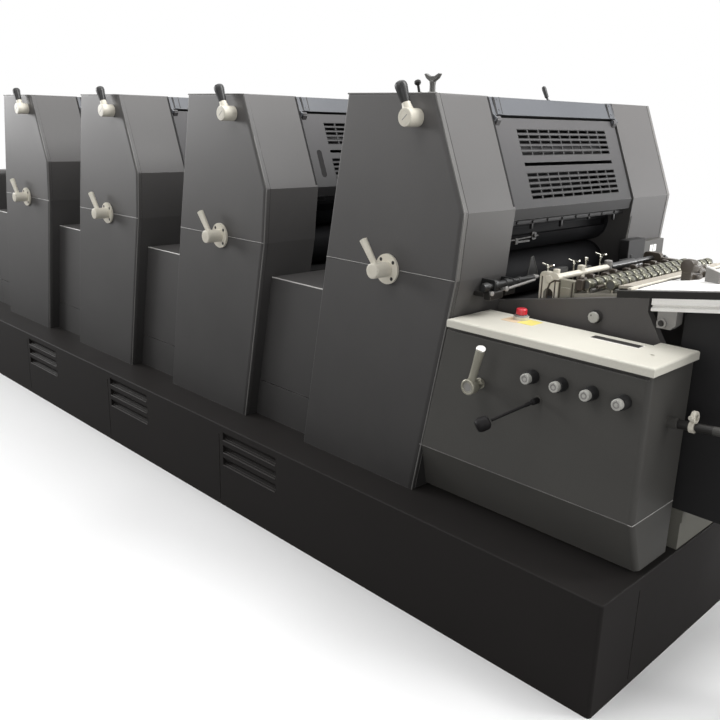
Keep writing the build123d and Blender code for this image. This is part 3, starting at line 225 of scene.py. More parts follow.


# Each finish: the record's slot that it stands for, base colour, roughness, and what differs from the rest.
# Edge wear, which also paints edge highlights, and dust are an amount and a colour.
finishes = {
    "plinthPaint": ("plinth", (0.0165, 0.0150, 0.0144), 0.62, dict(wear=(0.35, 0.10, 0.09, 0.085),
        dust=(0.10, 0.035, 0.032, 0.03), level=0.10, smear=0.05)),
    # coverPaint's gain by height is painted shade: the covers are darker low down and lighter high up
    "coverPaint": ("cover_grey", (0.064, 0.0615, 0.0605), 0.46, dict(wear=(0.5, 0.27, 0.265, 0.26),
        dust=(0.12, 0.12, 0.115, 0.11), level=0.32, smear=0.08, byHeight=(0.50, 1.41))),
    "platePaint": ("housing_dark", (0.088, 0.083, 0.081), 0.48, dict(wear=(0.45, 0.24, 0.23, 0.21),
        dust=(0.15, 0.13, 0.125, 0.12), level=0.28, smear=0.10)),
    "consolePaint": ("cover_grey", (0.060, 0.058, 0.054), 0.48, dict(wear=(0.45, 0.22, 0.21, 0.19),
        dust=(0.2, 0.12, 0.115, 0.10), level=0.26, smear=0.10)),
    "housingPaint": ("housing_dark", (0.016, 0.0155, 0.016), 0.55, dict(wear=(0.3, 0.12, 0.12, 0.12),
        dust=(0.2, 0.06, 0.06, 0.058), level=0.2)),
    # guardPaint's gain by height is painted shade: the guard gets darker towards its lower lip
    "guardPaint": ("guard_grey", (0.065, 0.0625, 0.0645), 0.46, dict(wear=(0.5, 0.24, 0.24, 0.24),
        dust=(0.08, 0.12, 0.118, 0.116), byHeight=(-2.2, 1.06))),
    "topPaint": ("top_grey", (0.092, 0.097, 0.108), 0.36, dict(wear=(0.4, 0.3, 0.3, 0.3), dust=(0.1, 0.2, 0.2, 0.2),
        level=0.35, brush=0.7, bump=0.25, brushWay=(900.0, 30.0, 900.0))),
    "creamMetal": ("cream_metal", (0.66, 0.625, 0.535), 0.36, dict(wear=(0.4, 0.36, 0.33, 0.27), level=0.4,
        wearRadius=0.0015, size=12.0, bump=0.08)),
    "slabCream": ("slab_cream", (0.615, 0.597, 0.527), 0.42, dict(wear=(0.4, 0.45, 0.43, 0.37),
        dust=(0.12, 0.45, 0.42, 0.35), drift=0.08, smear=0.08)),
    # The press cylinders are painted near black as painted shade for the bay under the guards
    "rollSteelPaintedShade": ("steel", (0.007, 0.007, 0.0078), 0.62, dict(dust=(0.1, 0.05, 0.05, 0.05), level=0.06, brush=0.8)),
    "brightSteel": ("chrome", (0.56, 0.55, 0.49), 0.22, dict(dust=(0.2, 0.2, 0.19, 0.15), metal=1.0, size=20.0)),
    "plateSteel": ("steel", (0.36, 0.34, 0.29), 0.38, dict(wear=(0.2, 0.5, 0.5, 0.48), dust=(0.35, 0.16, 0.14, 0.11),
        metal=0.7, brush=0.6, size=8.0)),
    "darkSteel": ("steel", (0.10, 0.10, 0.10), 0.36, dict(wear=(0.2, 0.5, 0.5, 0.48), dust=(0.12, 0.07, 0.07, 0.07),
        metal=0.9, brush=0.5, size=8.0)),
    "inkRubber": ("roller_rubber", (0.014, 0.013, 0.014), 0.4, dict(dust=(0.1, 0.04, 0.04, 0.04))),
    "whitePaint": ("white_metal", (0.90, 0.89, 0.86), 0.4, dict(wear=(0.4, 0.4, 0.38, 0.35), drift=0.06)),
    "railBlack": ("housing_dark", (0.014, 0.013, 0.012), 0.45, dict(wear=(0.4, 0.13, 0.12, 0.11),
        dust=(0.2, 0.06, 0.055, 0.05))),
    "blackPlastic": ("black_plastic", (0.012, 0.012, 0.012), 0.4, dict(wear=(0.2, 0.07, 0.07, 0.07),
        dust=(0.15, 0.05, 0.05, 0.048), level=0.4, size=15.0)),
    "stopRed": ("stop_red", (0.56, 0.02, 0.035), 0.28, dict(wear=(0.2, 0.4, 0.15, 0.15), dust=(0.1, 0.4, 0.15, 0.13),
        level=0.5, size=25.0, drift=0.08)),
    "knobWhite": ("knob_white", (0.42, 0.415, 0.385), 0.36, dict(wear=(0.5, 0.26, 0.25, 0.23),
        dust=(0.15, 0.4, 0.39, 0.36), level=0.4, wearRadius=0.0012, size=25.0)),
    "bracketGrey": ("bracket_grey", (0.24, 0.232, 0.222), 0.45, dict(wear=(0.4, 0.42, 0.41, 0.39),
        dust=(0.25, 0.2, 0.19, 0.17), level=0.35, size=12.0)),
    # A light grey for thin lines that are painted highlights along edges
    "brightEdgeHighlight": ("cover_grey", (0.50, 0.49, 0.47), 0.35, dict(dust=(0.05, *paleDust), size=8.0)),
    # Near black for the seal and the ball grip, and painted shade inside the guards' grip pockets
    "blackAndPocketShade": ("black_plastic", (0.010, 0.0092, 0.0095), 0.5, dict(dust=(0.0, *paleDust), level=0.12,
        smear=0.0)),
    # A grey lighter than the covers, for painted highlights on the first near fold and below the slab
    "foldHighlightPaint": ("cover_grey", (0.10, 0.097, 0.094), 0.4, dict(dust=(0.05, *paleDust), size=6.0)),
    # A little lighter than the plinth's paint: painted highlight on the louvre lips
    "lipPaint": ("plinth", (0.020, 0.0175, 0.0165), 0.5, dict(wear=(0.4, 0.09, 0.08, 0.075),
        dust=(0.15, 0.05, 0.044, 0.04), wearRadius=0.0015, size=14.0)),
    "dimSteel": ("steel", (0.085, 0.084, 0.078), 0.4, dict(wear=(0.6, 0.22, 0.21, 0.19),
        dust=(0.15, 0.05, 0.045, 0.04), level=0.4, size=14.0)),
    "wornCream": ("cream_metal", (0.31, 0.298, 0.243), 0.36, dict(wear=(0.7, 0.78, 0.76, 0.66),
        dust=(0.2, 0.16, 0.15, 0.11), metal=0.35, level=0.4, wearRadius=0.0016, size=16.0, smear=0.2)),
    "rollBand": ("chrome", (0.155, 0.153, 0.118), 0.32, dict(wear=(0.7, 0.55, 0.54, 0.44),
        dust=(0.3, 0.08, 0.07, 0.045), metal=0.7, level=0.4, wearRadius=0.001, size=26.0, smear=0.3)),
    "deckPaint": ("cover_grey", (0.125, 0.122, 0.105), 0.55, dict(wear=(0.4, 0.2, 0.19, 0.17),
        dust=(0.3, 0.16, 0.15, 0.12), level=0.25, size=8.0)),
    # A grey lighter than the covers, for painted highlights on beads, rims, fold strips and the console seam
    "edgeHighlightPaint": ("cover_grey", (0.13, 0.127, 0.122), 0.36, dict(dust=(0.05, *paleDust), level=0.5, size=6.0)),
    "beigeStrip": ("steel", (0.42, 0.385, 0.33), 0.5, dict(wear=(0.3, 0.6, 0.57, 0.5), dust=(0.2, 0.2, 0.17, 0.13),
        wearRadius=0.001, size=14.0, smear=0.15)),
    "oilBrown": ("steel", (0.045, 0.036, 0.028), 0.4, dict(wear=(0.5, 0.2, 0.17, 0.12), dust=(0.1, 0.10, 0.08, 0.06),
        level=0.4, size=18.0, smear=0.2)),
    "patchYellow": ("slab_cream", (0.72, 0.62, 0.16), 0.5, dict(size=20.0)),
    "patchBeige": ("slab_cream", (0.66, 0.50, 0.34), 0.5, dict(size=20.0)),
    "paperWhite": ("paper_white", (0.84, 0.835, 0.82), 0.75, dict(dust=(0.05, *paleDust), level=0.2, drift=0.05,
        brush=1.0, brushWay=(3.0, 3.0, 1500.0), bump=0.6)),
}
made = {name: makeFinish(name, *main, **rest) for name, (slot, *main, rest) in finishes.items()}

# Which nodes wear each finish, a numbered row under its common name
wornBy = {"plinthPaint": "plinth", "coverPaint": "near_covers far_covers step_covers delivery_housing",
          "housingPaint": "housings pile_frame delivery_sides", "rollSteelPaintedShade": "press_cylinders",
          "inkRubber": "ink_rollers", "topPaint": "top_covers", "consolePaint": "console_body",
          "slabCream": "console_slab", "stopRed": "stop_button", "blackPlastic": "ball_lever drive_box",
          "creamMetal": "console_lever lay_bar cross_bars top_lever mid_lever", "platePaint": "feeder_sides",
          "knobWhite": "plate_knob console_knob", "railBlack": "feed_rails", "whitePaint": "feed_board table_edges",
          "plateSteel": "roller_plate", "dimSteel": "sheet_rollers", "deckPaint": "deck_plate",
          "paperWhite": "paper_piles", "bracketGrey": "tube_bracket", "guardPaint": "guard"}
finishOf = {node: finish for finish, names in wornBy.items() for node in names.split()}
for name, node in nodes.items():
    node.data.materials.clear()
    node.data.materials.append(made[finishOf[name.rstrip("_1234")]])
print("finishes on the frame")

# Shapes are worked out in millimetres in the press's own frame, and stored in metres
xDir, yDir, zDir, nearDir = (1, 0, 0), (0, 1, 0), (0, 0, 1), (0, -1, 0)


def floats(v):
    return np.asarray(v, float)


def unitVector(v):
    v = floats(v)
    return v / np.linalg.norm(v)


# Rows of points, each a closed loop, joined by four-sided faces and capped at both ends. The signed volume, a sum
# of triple products, says which way the faces point.
def skin(points, ring=False):
    rows, cols = points.shape[:2]
    index = np.arange(rows * cols).reshape(rows, cols)
    after = np.roll(index, -1, axis=1)
    low, high = (index, np.roll(index, -1, axis=0)) if ring else (index[:-1], index[1:])
    lowNext, highNext = (after, np.roll(after, -1, axis=0)) if ring else (after[:-1], after[1:])
    quads = np.stack((low, lowNext, highNext, high), axis=-1).reshape(-1, 4)
    v = points.reshape(-1, 3)
    c = v[quads] - v.mean(axis=0)
    volume = sum(np.einsum("ij,ij->i", c[:, 0], np.cross(c[:, k], c[:, k + 1])).sum() for k in (1, 2))
    caps = [] if ring else [index[0][::-1], index[-1]]
    if volume < 0:
        quads, caps = quads[:, ::-1], [cap[::-1] for cap in caps]
    return v, quads, caps


# Surface of revolution: start + axis h + r(h) (u cos t + v sin t), for a profile of (h, r)
def turned(start, axis, profile, around, ring=False):
    w = unitVector(axis)
    u = unitVector(np.cross(zDir if abs(w[2]) < 0.9 else xDir, w))
    h, r = floats(profile).T
    t = np.linspace(0, 2 * np.pi, around, endpoint=False)
    circle = np.cos(t)[:, None] * u + np.sin(t)[:, None] * np.cross(w, u)
    return skin(floats(start) + h[:, None, None] * w + r[:, None, None] * circle[None], ring)


# Ring of revolution: the profile of (h, r) is a closed loop itself, so both ways close
def turnedRing(start, axis, profile, around):
    return turned(start, axis, profile, around, True)


# Rounded rectangle: quarter circles of radius r about corner centres at half width less r
def roundedLoop(width, height, radius, steps):
    quarter = np.linspace(0, np.pi / 2, steps + 1)
    t = np.concatenate([quarter + k * np.pi / 2 for k in range(4)])
    sx = np.repeat((1, -1, -1, 1), steps + 1)
    sy = np.repeat((1, 1, -1, -1), steps + 1)
    width, height, radius = (floats(q)[:, None] for q in (width, height, radius))
    return sx * (width / 2 - radius) + radius * np.cos(t), sy * (height / 2 - radius) + radius * np.sin(t)


# Block: a rounded rectangle carried along its depth, drawn in by the chamfer at both ends
def block(middle, size, round, chamfer, axes, steps=4):
    a, b, c = (unitVector(q) for q in axes)
    depth = np.array((-size[2] / 2, -size[2] / 2 + chamfer, size[2] / 2 - chamfer, size[2] / 2))
    drawn = np.array((2 * chamfer, 0, 0, 2 * chamfer))
    x, y = roundedLoop(size[0] - drawn, size[1] - drawn, np.maximum(round - drawn / 2, 0.05), steps)
    return skin(floats(middle) + x[:, :, None] * a + y[:, :, None] * b + depth[:, None, None] * c)


# Block between two corners, with its rounded outline seen along the given axis (0, 1 or 2)
def boxed(low, high, along, round, chamfer, steps=3):
    low, high = floats(low), floats(high)
    order = [(1, 2, 0), (2, 0, 1), (0, 1, 2)][along]
    return block((low + high) / 2, (high - low)[list(order)], round, chamfer, np.eye(3)[list(order)], steps)


# Tube: a circle of radius r(s) carried along a path, in the plane square to its tangent there
def tube(path, radius, around):
    path = floats(path)
    tangent = np.gradient(path, axis=0)
    tangent /= np.linalg.norm(tangent, axis=1)[:, None]
    u = np.cross(zDir if abs(tangent[:, 2]).max() < 0.95 else (0.31, 0.95, 0.05), tangent)
    u /= np.linalg.norm(u, axis=1)[:, None]
    v = np.cross(tangent, u)
    t = np.linspace(0, 2 * np.pi, around, endpoint=False)[None, :, None]
    radius = np.broadcast_to(floats(radius), (len(path),))
    return skin(path[:, None] + radius[:, None, None] * (np.cos(t) * u[:, None] + np.sin(t) * v[:, None]))


# Tube of one radius through corner points, with more points set evenly along each straight run
def rod(points, radius, around, count=6):
    points = floats(points)
    share = np.linspace(0, 1, count, endpoint=False)[None, :, None]
    runs = points[:-1, None] + share * (points[1:] - points[:-1])[:, None]
    return tube(np.concatenate((runs.reshape(-1, 3), points[-1:])), radius, around)


# Flat outline carried straight along w: the same closed loop at both depths
def plate(outline, origin, axes, depths):
    a, b, w = (unitVector(q) for q in axes)
    loop = floats(outline)
    flat = floats(origin) + loop[:, :1] * a + loop[:, 1:] * b
    return skin(np.stack([flat + depth * w for depth in depths]))


edges = {"smoothUnder": 32, "bevelOver": 30, "segments": 2}


def addPiece(name, finish, shapes, body="press", hides=(), bevel=0.0):
    verts, faces, count = [], [], 0
    for v, quads, caps in shapes:
        verts.append(v)
        faces += (quads + count).tolist() + [(cap + count).tolist() for cap in caps]
        count += len(v)
    mesh = bpy.data.meshes.new(name)
    mesh.from_pydata(np.concatenate(verts) * 0.001, [], faces)
    mesh.shade_smooth()
    mesh.set_sharp_from_angle(angle=math.radians(edges["smoothUnder"]))
    mesh.materials.append(made[finish])
    piece = addObject(name, mesh)
    if bevel:
        edge = piece.modifiers.new("edge", "BEVEL")
        edge.width, edge.segments, edge.limit_method = bevel * 0.001, edges["segments"], "ANGLE"
        edge.angle_limit = math.radians(edges["bevelOver"])
    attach(piece, body)
    for node in hides:
        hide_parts(node)


# The units' centre lines, and the slope of their feeder side, where s runs down it and n stands out of it
unitX = {1: 1280.0, 2: 350.0, 3: -580.0, 4: -1510.0}
coverY = -649
slope = {"top": (164, 1620), "down": (0.37044, -0.92887), "out": (0.92887, 0.37044)}
down, out = np.array(slope["down"]), np.array(slope["out"])
slopeAxes = ((down[0], 0, down[1]), yDir, (out[0], 0, out[1]))


def onSlope(x, s, n, y):
    p = np.array((x + slope["top"][0], slope["top"][1])) + s * down + n * out
    return np.array((p[0], y, p[1]))


def slopeBlock(x, s, n, y, size, round, chamfer, steps=1):
    return block(onSlope(x, s, n, y), size, round, chamfer, slopeAxes, steps)


# Guards: hinge straps with dark joints beside them, the near cover's seal, and a dark sheet in each grip pocket that
# paints the pocket's shade
guard = {"straps": (-361, 331), "strapWide": 24, "strapEnds": (3, 58), "strapScrews": (10, 44), "jointS": 29,
         "jointSize": (54, 5, 0.8), "pocket": (212, 324), "pocketY": -341, "pocketWide": 26, "sealEnds": (4, 354),
         "sealY": -401, "sealWide": 8}
for i, x in unitX.items():
    a, b = guard["strapEnds"]
    straps, joints = [], []
    for y in guard["straps"]:
        straps.append(slopeBlock(x, (a + b) / 2, 1.1, y, (b - a, guard["strapWide"], 2.0), 3.0, 0.5, 4))
        straps += [turned(onSlope(x, s, 2.0, y), slopeAxes[2], [(0, 3.6), (1.0, 3.6), (1.6, 3.0), (1.7, 1.2)], 12)
                   for s in guard["strapScrews"]]
        joints += [slopeBlock(x, guard["jointS"], 0.2, y + side * (guard["strapWide"] / 2 + 3), guard["jointSize"],
                              0.4, 0.2) for side in (-1, 1)]
    a, b = guard["sealEnds"]
    seal = slopeBlock(x, (a + b) / 2, 0.3, guard["sealY"], (b - a, guard["sealWide"], 1.2), 0.5, 0.3)
    addPiece(f"coverSeal_{i}", "blackAndPocketShade", [seal])
    addPiece(f"hingeStraps_{i}", "topPaint", straps)
    addPiece(f"strapJoints_{i}", "railBlack", joints)
    if i > 1:
        a, b = guard["pocket"]
        wide = guard["pocketWide"]
        # A dark sheet inside the grip pocket: painted shade
        well = slopeBlock(x, (a + b) / 2, -6.0, guard["pocketY"], (b - a - 1, wide - 1, 0.8), wide / 2 - 0.6, 0.2, 8)
        addPiece(f"pocketShade_{i}", "blackAndPocketShade", [well], f"guard_{i}")
vent = {"first": (109, 254), "pitch": 18.5, "rows": 5, "high": 10, "low": -281, "top": 270, "cells": 9, "bar": 7,
        "rim": 1.9, "out": -5.85}
cell = (vent["top"] - vent["low"] + vent["bar"]) / vent["cells"]
for i, x in unitX.items():
    rims = []
    for s in [first + vent["pitch"] * k for first in vent["first"] for k in range(vent["rows"])]:
        for side in (-1, 1):
            rims.append(slopeBlock(
                x, s + side * (vent["high"] + vent["rim"]) / 2, vent["out"], (vent["low"] + vent["top"]) / 2,
                (vent["rim"], vent["top"] - vent["low"] + 3, 0.4), 0.3, 0.1))
            rims += [slopeBlock(x, s, vent["out"], vent["low"] + cell * k - vent["bar"] / 2 + side * 2.7,
                (vent["high"] + 3, 1.6, 0.4), 0.3, 0.1) for k in range(1, vent["cells"])]
    addPiece(f"ventRims_{i}", "housingPaint", rims, f"guard_{i}")
print("guards dressed")

# Louvres along the plinth: a lip and a bead behind it on each ledge, as (y, rise, radius), in a paint a little
# lighter than the plinth's, with worn edges that also paint the lips' highlights
louvre = {"left": -750, "long": 340, "in": 4, "lips": (186, 240, 294), "beads": ((787.9, -4.6, 2.4), (780, 0.8, 1.2))}
for i, x in unitX.items():
    x0, x1 = x + louvre["left"] + louvre["in"], x + louvre["left"] + louvre["long"] - louvre["in"]
    addPiece(f"louvreLips_{i}", "lipPaint", [
        rod([(x0, side * y, z + rise), (x1, side * y, z + rise)], r, 8)
        for side in (-1, 1) for z in louvre["lips"] for y, rise, r in louvre["beads"]])
print("louvres dressed")

# Bay under each guard: a dark bar across it above the sheet's way, with small clamps along it
bay = {"barZ": (1224, 1240), "barU": (250, 262), "near": -395.5, "far": 357.5, "clamps": (-330, 290, 8), "drop": 30}
for i, x in unitX.items():
    x0, x1 = x + bay["barU"][0], x + bay["barU"][1]
    z0, z1 = bay["barZ"]
    addPiece(f"bayBar_{i}", "housingPaint", [boxed((x0, bay["near"], z0), (x1, bay["far"], z1), 1, 3, 1.0)])
    places = np.linspace(*bay["clamps"])
    hanging = [z0 - bay["drop"] * (0.5 + 0.3 * math.sin(7 * y)) for y in places]
    addPiece(f"bayClamps_{i}", "housingPaint",
             [boxed((x0 + 3, y - 5, z), (x1 + 1, y + 5, z0 + 3), 1, 2, 0.8, 2)
              for y, z in zip(places[1::2], hanging[1::2])]
             + [turned((x1, y, z0 + 8), xDir, [(-1, 5), (3, 5), (4, 4), (4.2, 2)], 12) for y in places])
print("bays dressed")

# First unit's feeder side, under the guard: bracket, blade, register shaft, and the boxes on the far cover
register = {"x": 1598, "z": 1056, "dir": (0, 1, 0.01)}
addPiece("bayBracket", "railBlack", [
    rod([(1542, -397, 1176), (1542, -206, 1184)], 3.2, 12),
    boxed((1537, -338, 1164), (1547, -322, 1184), 0, 3, 1), boxed((1537, -246, 1172), (1547, -220, 1198), 0, 6, 1),
    turned((1547, -233, 1186), xDir, [(-2, 7), (4, 7), (5.5, 5), (5.6, 2)], 16),
    boxed((1538, -322, 1167), (1545, -252, 1174), 0, 3, 1)])
addPiece("bladePlate", "darkSteel", [
    plate([(-279, 1050), (-262, 1118), (-250, 1122), (-217, 1062), (-217, 1043), (-279, 1043)], (1560, 0, 0),
          (yDir, zDir, xDir), (0, 1.6))])
addPiece("bladeEdge", "dimSteel", [
    rod([(1562, y, z) for y, z in ((-278, 1046), (-262, 1117), (-250, 1121), (-218, 1062), (-218, 1046))], 1.4, 8)])
addPiece("lightRod", "dimSteel", [
    rod([(1566, -397, 1042), (1566, -214, 1050)], 4.2, 12),
    turned((1566, -236, 1049), yDir, [(0, 4), (0.5, 8), (12, 8), (13, 6)], 16)])
addPiece("registerRod", "bracketGrey", [rod([(1613, -452, 1046), (1613, -310, 1056)], 4.5, 12)])
addPiece("registerShaft", "blackPlastic", [
    turned((register["x"], -566, register["z"] + 2), register["dir"], [
        (0, 6), (1, 12), (14, 14), (26, 14), (28, 9), (48, 9), (50, 17), (56, 18.5), (66, 18.5), (70, 15), (72, 11),
        (110, 11), (112, 15), (128, 15), (130, 10.5), (180, 10.5), (182, 13), (196, 13), (198, 9.5), (262, 9.5),
        (268, 8)], 22),
    boxed((1545, -520, 1036), (1612, -508, 1078), 1, 8, 1.2),
    boxed((1548, -418, 1040), (1610, -408, 1072), 1, 7, 1.2)])
addPiece("registerTips", "bracketGrey", [
    turned((register["x"], -299, register["z"] + 4.5), register["dir"],
           [(0, 7), (1, 9.5), (10, 9.5), (12, 7), (30, 5), (31, 2)], 18),
    turned((1612, -470, 1046), (1, 0, 0.2), [(-12, 5), (4, 5), (5, 8), (10, 8), (12, 5)], 14),
    turned((1612, -540, 1040), (1, -0.2, 0.1), [(-14, 5), (2, 5), (3, 7), (8, 7), (9, 4)], 14)])
addPiece("registerBlocks", "railBlack", [
    boxed(*corners, 1, round, chamfer) for *corners, round, chamfer in (
        ((1590, -545, 1018), (1616, -480, 1044), 5, 1.5), ((1586, -455, 1022), (1608, -405, 1046), 5, 1.5),
        ((1552, -548, 1026), (1592, -532, 1040), 3, 1.0), ((1552, -448, 1028), (1590, -436, 1040), 3, 1.0))])
addPiece("farInnerEdge", "dimSteel", [rod([(1573, 358.4, 1214), (1563.5, 358.4, 1112)], 2.6, 10)])
addPiece("farInnerGroove", "railBlack", [
    rod([(1572.5, 366, 1216), (1565, 366, 1126)], 2.2, 10), rod([(1562, 358, 1118), (1588, 352, 1076)], 5.0, 12)])
addPiece("farBox", "housingPaint", [
    boxed((1562, 320, 1041), (1601, 449, 1130), 0, 5, 2.0), boxed((1553, 362, 1060), (1566, 440, 1120), 0, 4, 1.0),
    turned((1600, 346, 1070), xDir, [(-1, 7), (3, 7), (4, 5)], 14)])
addPiece("farBlock", "consolePaint", [
    boxed((1553, 452, 1045), (1594, 618, 1116), 0, 4, 1.5), boxed((1556, 470, 1020), (1586, 600, 1046), 0, 3, 1.5)])
addPiece("farLabels", "whitePaint", [boxed((1593.6, y, 1070), (1594.8, y + 23, 1097), 0, 1, 0.3) for y in (506, 534)])
addPiece("farShaft", "darkSteel", [
    turned((1606, 262, 1034), yDir,
           [(0, 6), (1, 9), (60, 9), (61, 12), (80, 12), (81, 9), (372, 9), (374, 6)], 18),
    boxed((1553, 384, 1022), (1616, 394, 1050), 1, 6, 1), boxed((1553, 606, 1022), (1616, 616, 1050), 1, 6, 1)])
print("first unit's feeder side dressed")

# Cover edges: a bead on each slanted corner and the top edge, with the fold's seam, rim and strip beside it. The
# beads, the rims and the lighter strips are painted highlights along the edges and folds. The fold is faint on the
# near side of units 2 to 4.
coverEdge = {"outline": ((-204, 1620), (164, 1620), (298, 1284), (281, 1080), (145, 351)), "bead": 2.6, "seamIn": 19,
             "sink": 2.0, "seam": 1.0, "faintSeam": 0.5, "rim": 0.8, "rimOut": 2.2, "foldY": 640.5, "foldWide": 15}
for i, x in unitX.items():
    beads, seams, rims = [], [], []
    for side in (-1, 1):
        edge = np.array([(x + u - 1.4, side * (-coverY - coverEdge["sink"]), z - (1.8 if z > 1600 else 0))
                         for u, z in coverEdge["outline"]])
        beads.append(rod(edge, coverEdge["bead"], 10, 10))
        fold = edge[1:] + (1.5, 0, 0)
        fold[:, 1] = side * (-coverY - coverEdge["seamIn"])
        faint = side < 0 and i > 1
        seams.append(rod(fold, coverEdge["faintSeam" if faint else "seam"], 8, 10))
        if not faint:
            rims.append(rod(fold + (0, side * coverEdge["rimOut"], 0), coverEdge["rim"], 8, 10))
    addPiece(f"coverBeadHighlights_{i}", "edgeHighlightPaint", beads)
    addPiece(f"coverSeams_{i}", "railBlack", seams)
    addPiece(f"coverRimHighlights_{i}", "edgeHighlightPaint", rims)
    strip = np.array(coverEdge["outline"][1:4])
    for (ua, za), (ub, zb) in zip(strip[:-1], strip[1:]):
        run = np.array((ub - ua, 0, zb - za))
        long = np.linalg.norm(run)
        outward = np.cross(yDir, run) / long
        middle = np.array((x + (ua + ub) / 2, 0, (za + zb) / 2)) - 0.1 * outward
        for side, name, finish in ((-1, "near", "foldHighlightPaint" if i == 1 else "coverPaint"), (1, "far", "edgeHighlightPaint")):
            addPiece(f"{name}Fold_{i}_{int(za)}", finish, [
                block(middle + (0, side * coverEdge["foldY"], 0), (long - 2, coverEdge["foldWide"], 1.4), 0.6, 0.3,
                    (run, yDir, outward), 1)])
# Painted highlight along the top front edge of each step cover
stepEdge = {"y": -591.8, "z": 942.8, "ends": (255.6 - 930, -321.8), "delivery": -2168, "in": 3}
addPiece("stepEdgeHighlights", "brightEdgeHighlight", [
    rod([(max(x + stepEdge["ends"][0], stepEdge["delivery"]) + stepEdge["in"], stepEdge["y"], stepEdge["z"]),
         (x + stepEdge["ends"][1] - stepEdge["in"], stepEdge["y"], stepEdge["z"])], 2.4, 8, 10)
    for x in unitX.values()])
print("cover edges ready")

# Levers: black grips, screws in the flange and marks on the hub ends
lever = {"top": (99, 1549), "hubY": -682, "hubEnd": -706, "gripStart": 46, "gripEnd": 112, "gripWide": 19.5,
         "midZ": 1080.0, "flangeY": -658, "midEnd": -722, "screwRing": 38, "screws": (40, 130, 220, 310)}
armDir = unitVector((-0.42, 0, 0.907))
g0, g1, gr = lever["gripStart"], lever["gripEnd"], lever["gripWide"]
gripProfile = [(g0, 6.0), (g0 + 0.5, 13.5), (g0 + 8, 14.6), (g0 + 22, 16.0), (g1 - 26, gr - 1.2), (g1 - 16, gr),
               (g1 - 8, gr - 1.0), (g1 - 3, gr - 5), (g1, gr - 11), (g1 + 0.6, 2)]
for i, x in unitX.items():
    topX, topZ = x + lever["top"][0], lever["top"][1]
    hub, end, upper, lower = (topX, lever["hubY"], topZ), lever["hubEnd"], f"top_lever_{i}", f"mid_lever_{i}"
    addPiece(f"leverGrip_{i}", "blackPlastic", [turned(hub, armDir, gripProfile, 24)], upper)
    addPiece(f"leverCollar_{i}", "creamMetal", [
        turned(hub, armDir, [(10, 19), (24, 17), (36, 14.5), (45.5, 13.5), (46, 9)], 24),
        turned((topX, end, topZ), nearDir, [(-3.5, 27.2), (-1, 27), (0.6, 25.6), (0.8, 22)], 36),
        turnedRing((topX, end - 0.4, topZ), nearDir, [(0, 17.5), (0.9, 17.5), (0.9, 19.5), (0, 19.5)], 32)], upper)
    addPiece(f"leverSlot_{i}", "bracketGrey", [
        block((topX, end - 0.9, topZ), (26, 2.4, 0.8), 1.0, 0.2, ((0.75, 0, 0.66), (-0.66, 0, 0.75), nearDir))],
        upper)
    around = [np.array((math.cos(a), 0, math.sin(a))) for a in np.radians(lever["screws"])]
    addPiece(f"flangeScrews_{i}", "railBlack", [
        turned((x, lever["flangeY"], lever["midZ"]) + lever["screwRing"] * a, nearDir,
               [(-0.5, 6.2), (0.4, 6.2), (0.6, 5.6), (0.65, 3.4)], 14) for a in around], lower)
    face, front = (x, lever["midEnd"], lever["midZ"]), (x, lever["midEnd"] - 2, lever["midZ"])
    addPiece(f"hubMark_{i}", "creamMetal", [
        turned(face, nearDir, [(-0.5, 24.6), (0.9, 24.4), (1.8, 23), (2.0, 19)], 32),
        turnedRing(front, nearDir, [(0, 9), (0.5, 9), (0.5, 10.2), (0, 10.2)], 24),
        turned(front, nearDir, [(-0.3, 3), (0.5, 3), (0.8, 2)], 12)], lower)
print("levers dressed")

# First unit's top: wing screw, small knob and a short lever with its grip
top = {"z": 1619.5, "screw": (1388, -598), "knob": (1349, -612), "lever": (1272, 200)}
wing = [(-23, 43), (-9, 34), (-7, 20), (7, 20), (9, 34), (23, 43), (31, 55), (25, 57), (9, 49), (-9, 49), (-25, 57),
        (-31, 55)]
addPiece("topWingScrew", "dimSteel", [
    plate(wing, (*top["screw"], top["z"]), (xDir, zDir, yDir), (-6, 6)),
    turned((*top["screw"], top["z"]), zDir, [(0, 15), (4, 15), (5, 9), (36, 9), (37, 6)], 20)], bevel=1.6)
addPiece("topSmallKnob", "railBlack", [
    turned((*top["knob"], top["z"]), (-0.28, 0, 0.96),
           [(0, 8), (2, 8), (3, 4), (24, 4), (26, 8), (31, 10.5), (37, 9.5), (40, 5), (40.5, 1)], 18)])
addPiece("topSmallLever", "blackPlastic", [
    turned((*top["lever"], top["z"]), (-0.45, 0, 0.89),
           [(0, 8), (6, 8), (7, 4), (18, 4), (19, 7), (52, 8.5), (60, 7), (63, 3)], 16)])
print("top details ready")

# Console: switch patches, collar, the slot's painted shade and painted highlight, a painted highlight along the seam,
# and the knobs' caps, skirts and marks
console = {"slabTop": 966, "slabSkin": 965.8, "stop": (1690, -482, 976), "knobs": (1860, 1953, 2046, 2139),
           "knobZ": 859, "seamZ": 525, "endX": 2202.8, "plateEdge": (1560, 2198, 8)}
low, high = console["slabSkin"], console["slabTop"]
addPiece("stopPatchYellow", "patchYellow", [boxed((1706, -528, low), (1760, -466, 966.6), 2, 3, 0.2)])
addPiece("stopPatchBeige", "patchBeige", [boxed((1652, -536, low), (1705, -462, 966.6), 2, 3, 0.2)])
addPiece("stopCollar", "bracketGrey", [
    turnedRing(console["stop"], zDir, [(0, 17.6), (0, 22), (3, 21.4), (4.5, 19.5), (4.5, 17.6)], 32)])
# A dark plate on the slab paints the slot's shade, and a white rim paints its highlight
addPiece("slotShade", "railBlack", [boxed((1942, -509, low), (2089, -476, 966.5), 2, 3, 0.2, 5)])
addPiece("slotRimHighlight", "whitePaint", [rod([(1943, -511, high), (2091, -511, high), (2091, -476, high)], 1.2, 8)])
seam, endX = console["seamZ"], console["endX"]
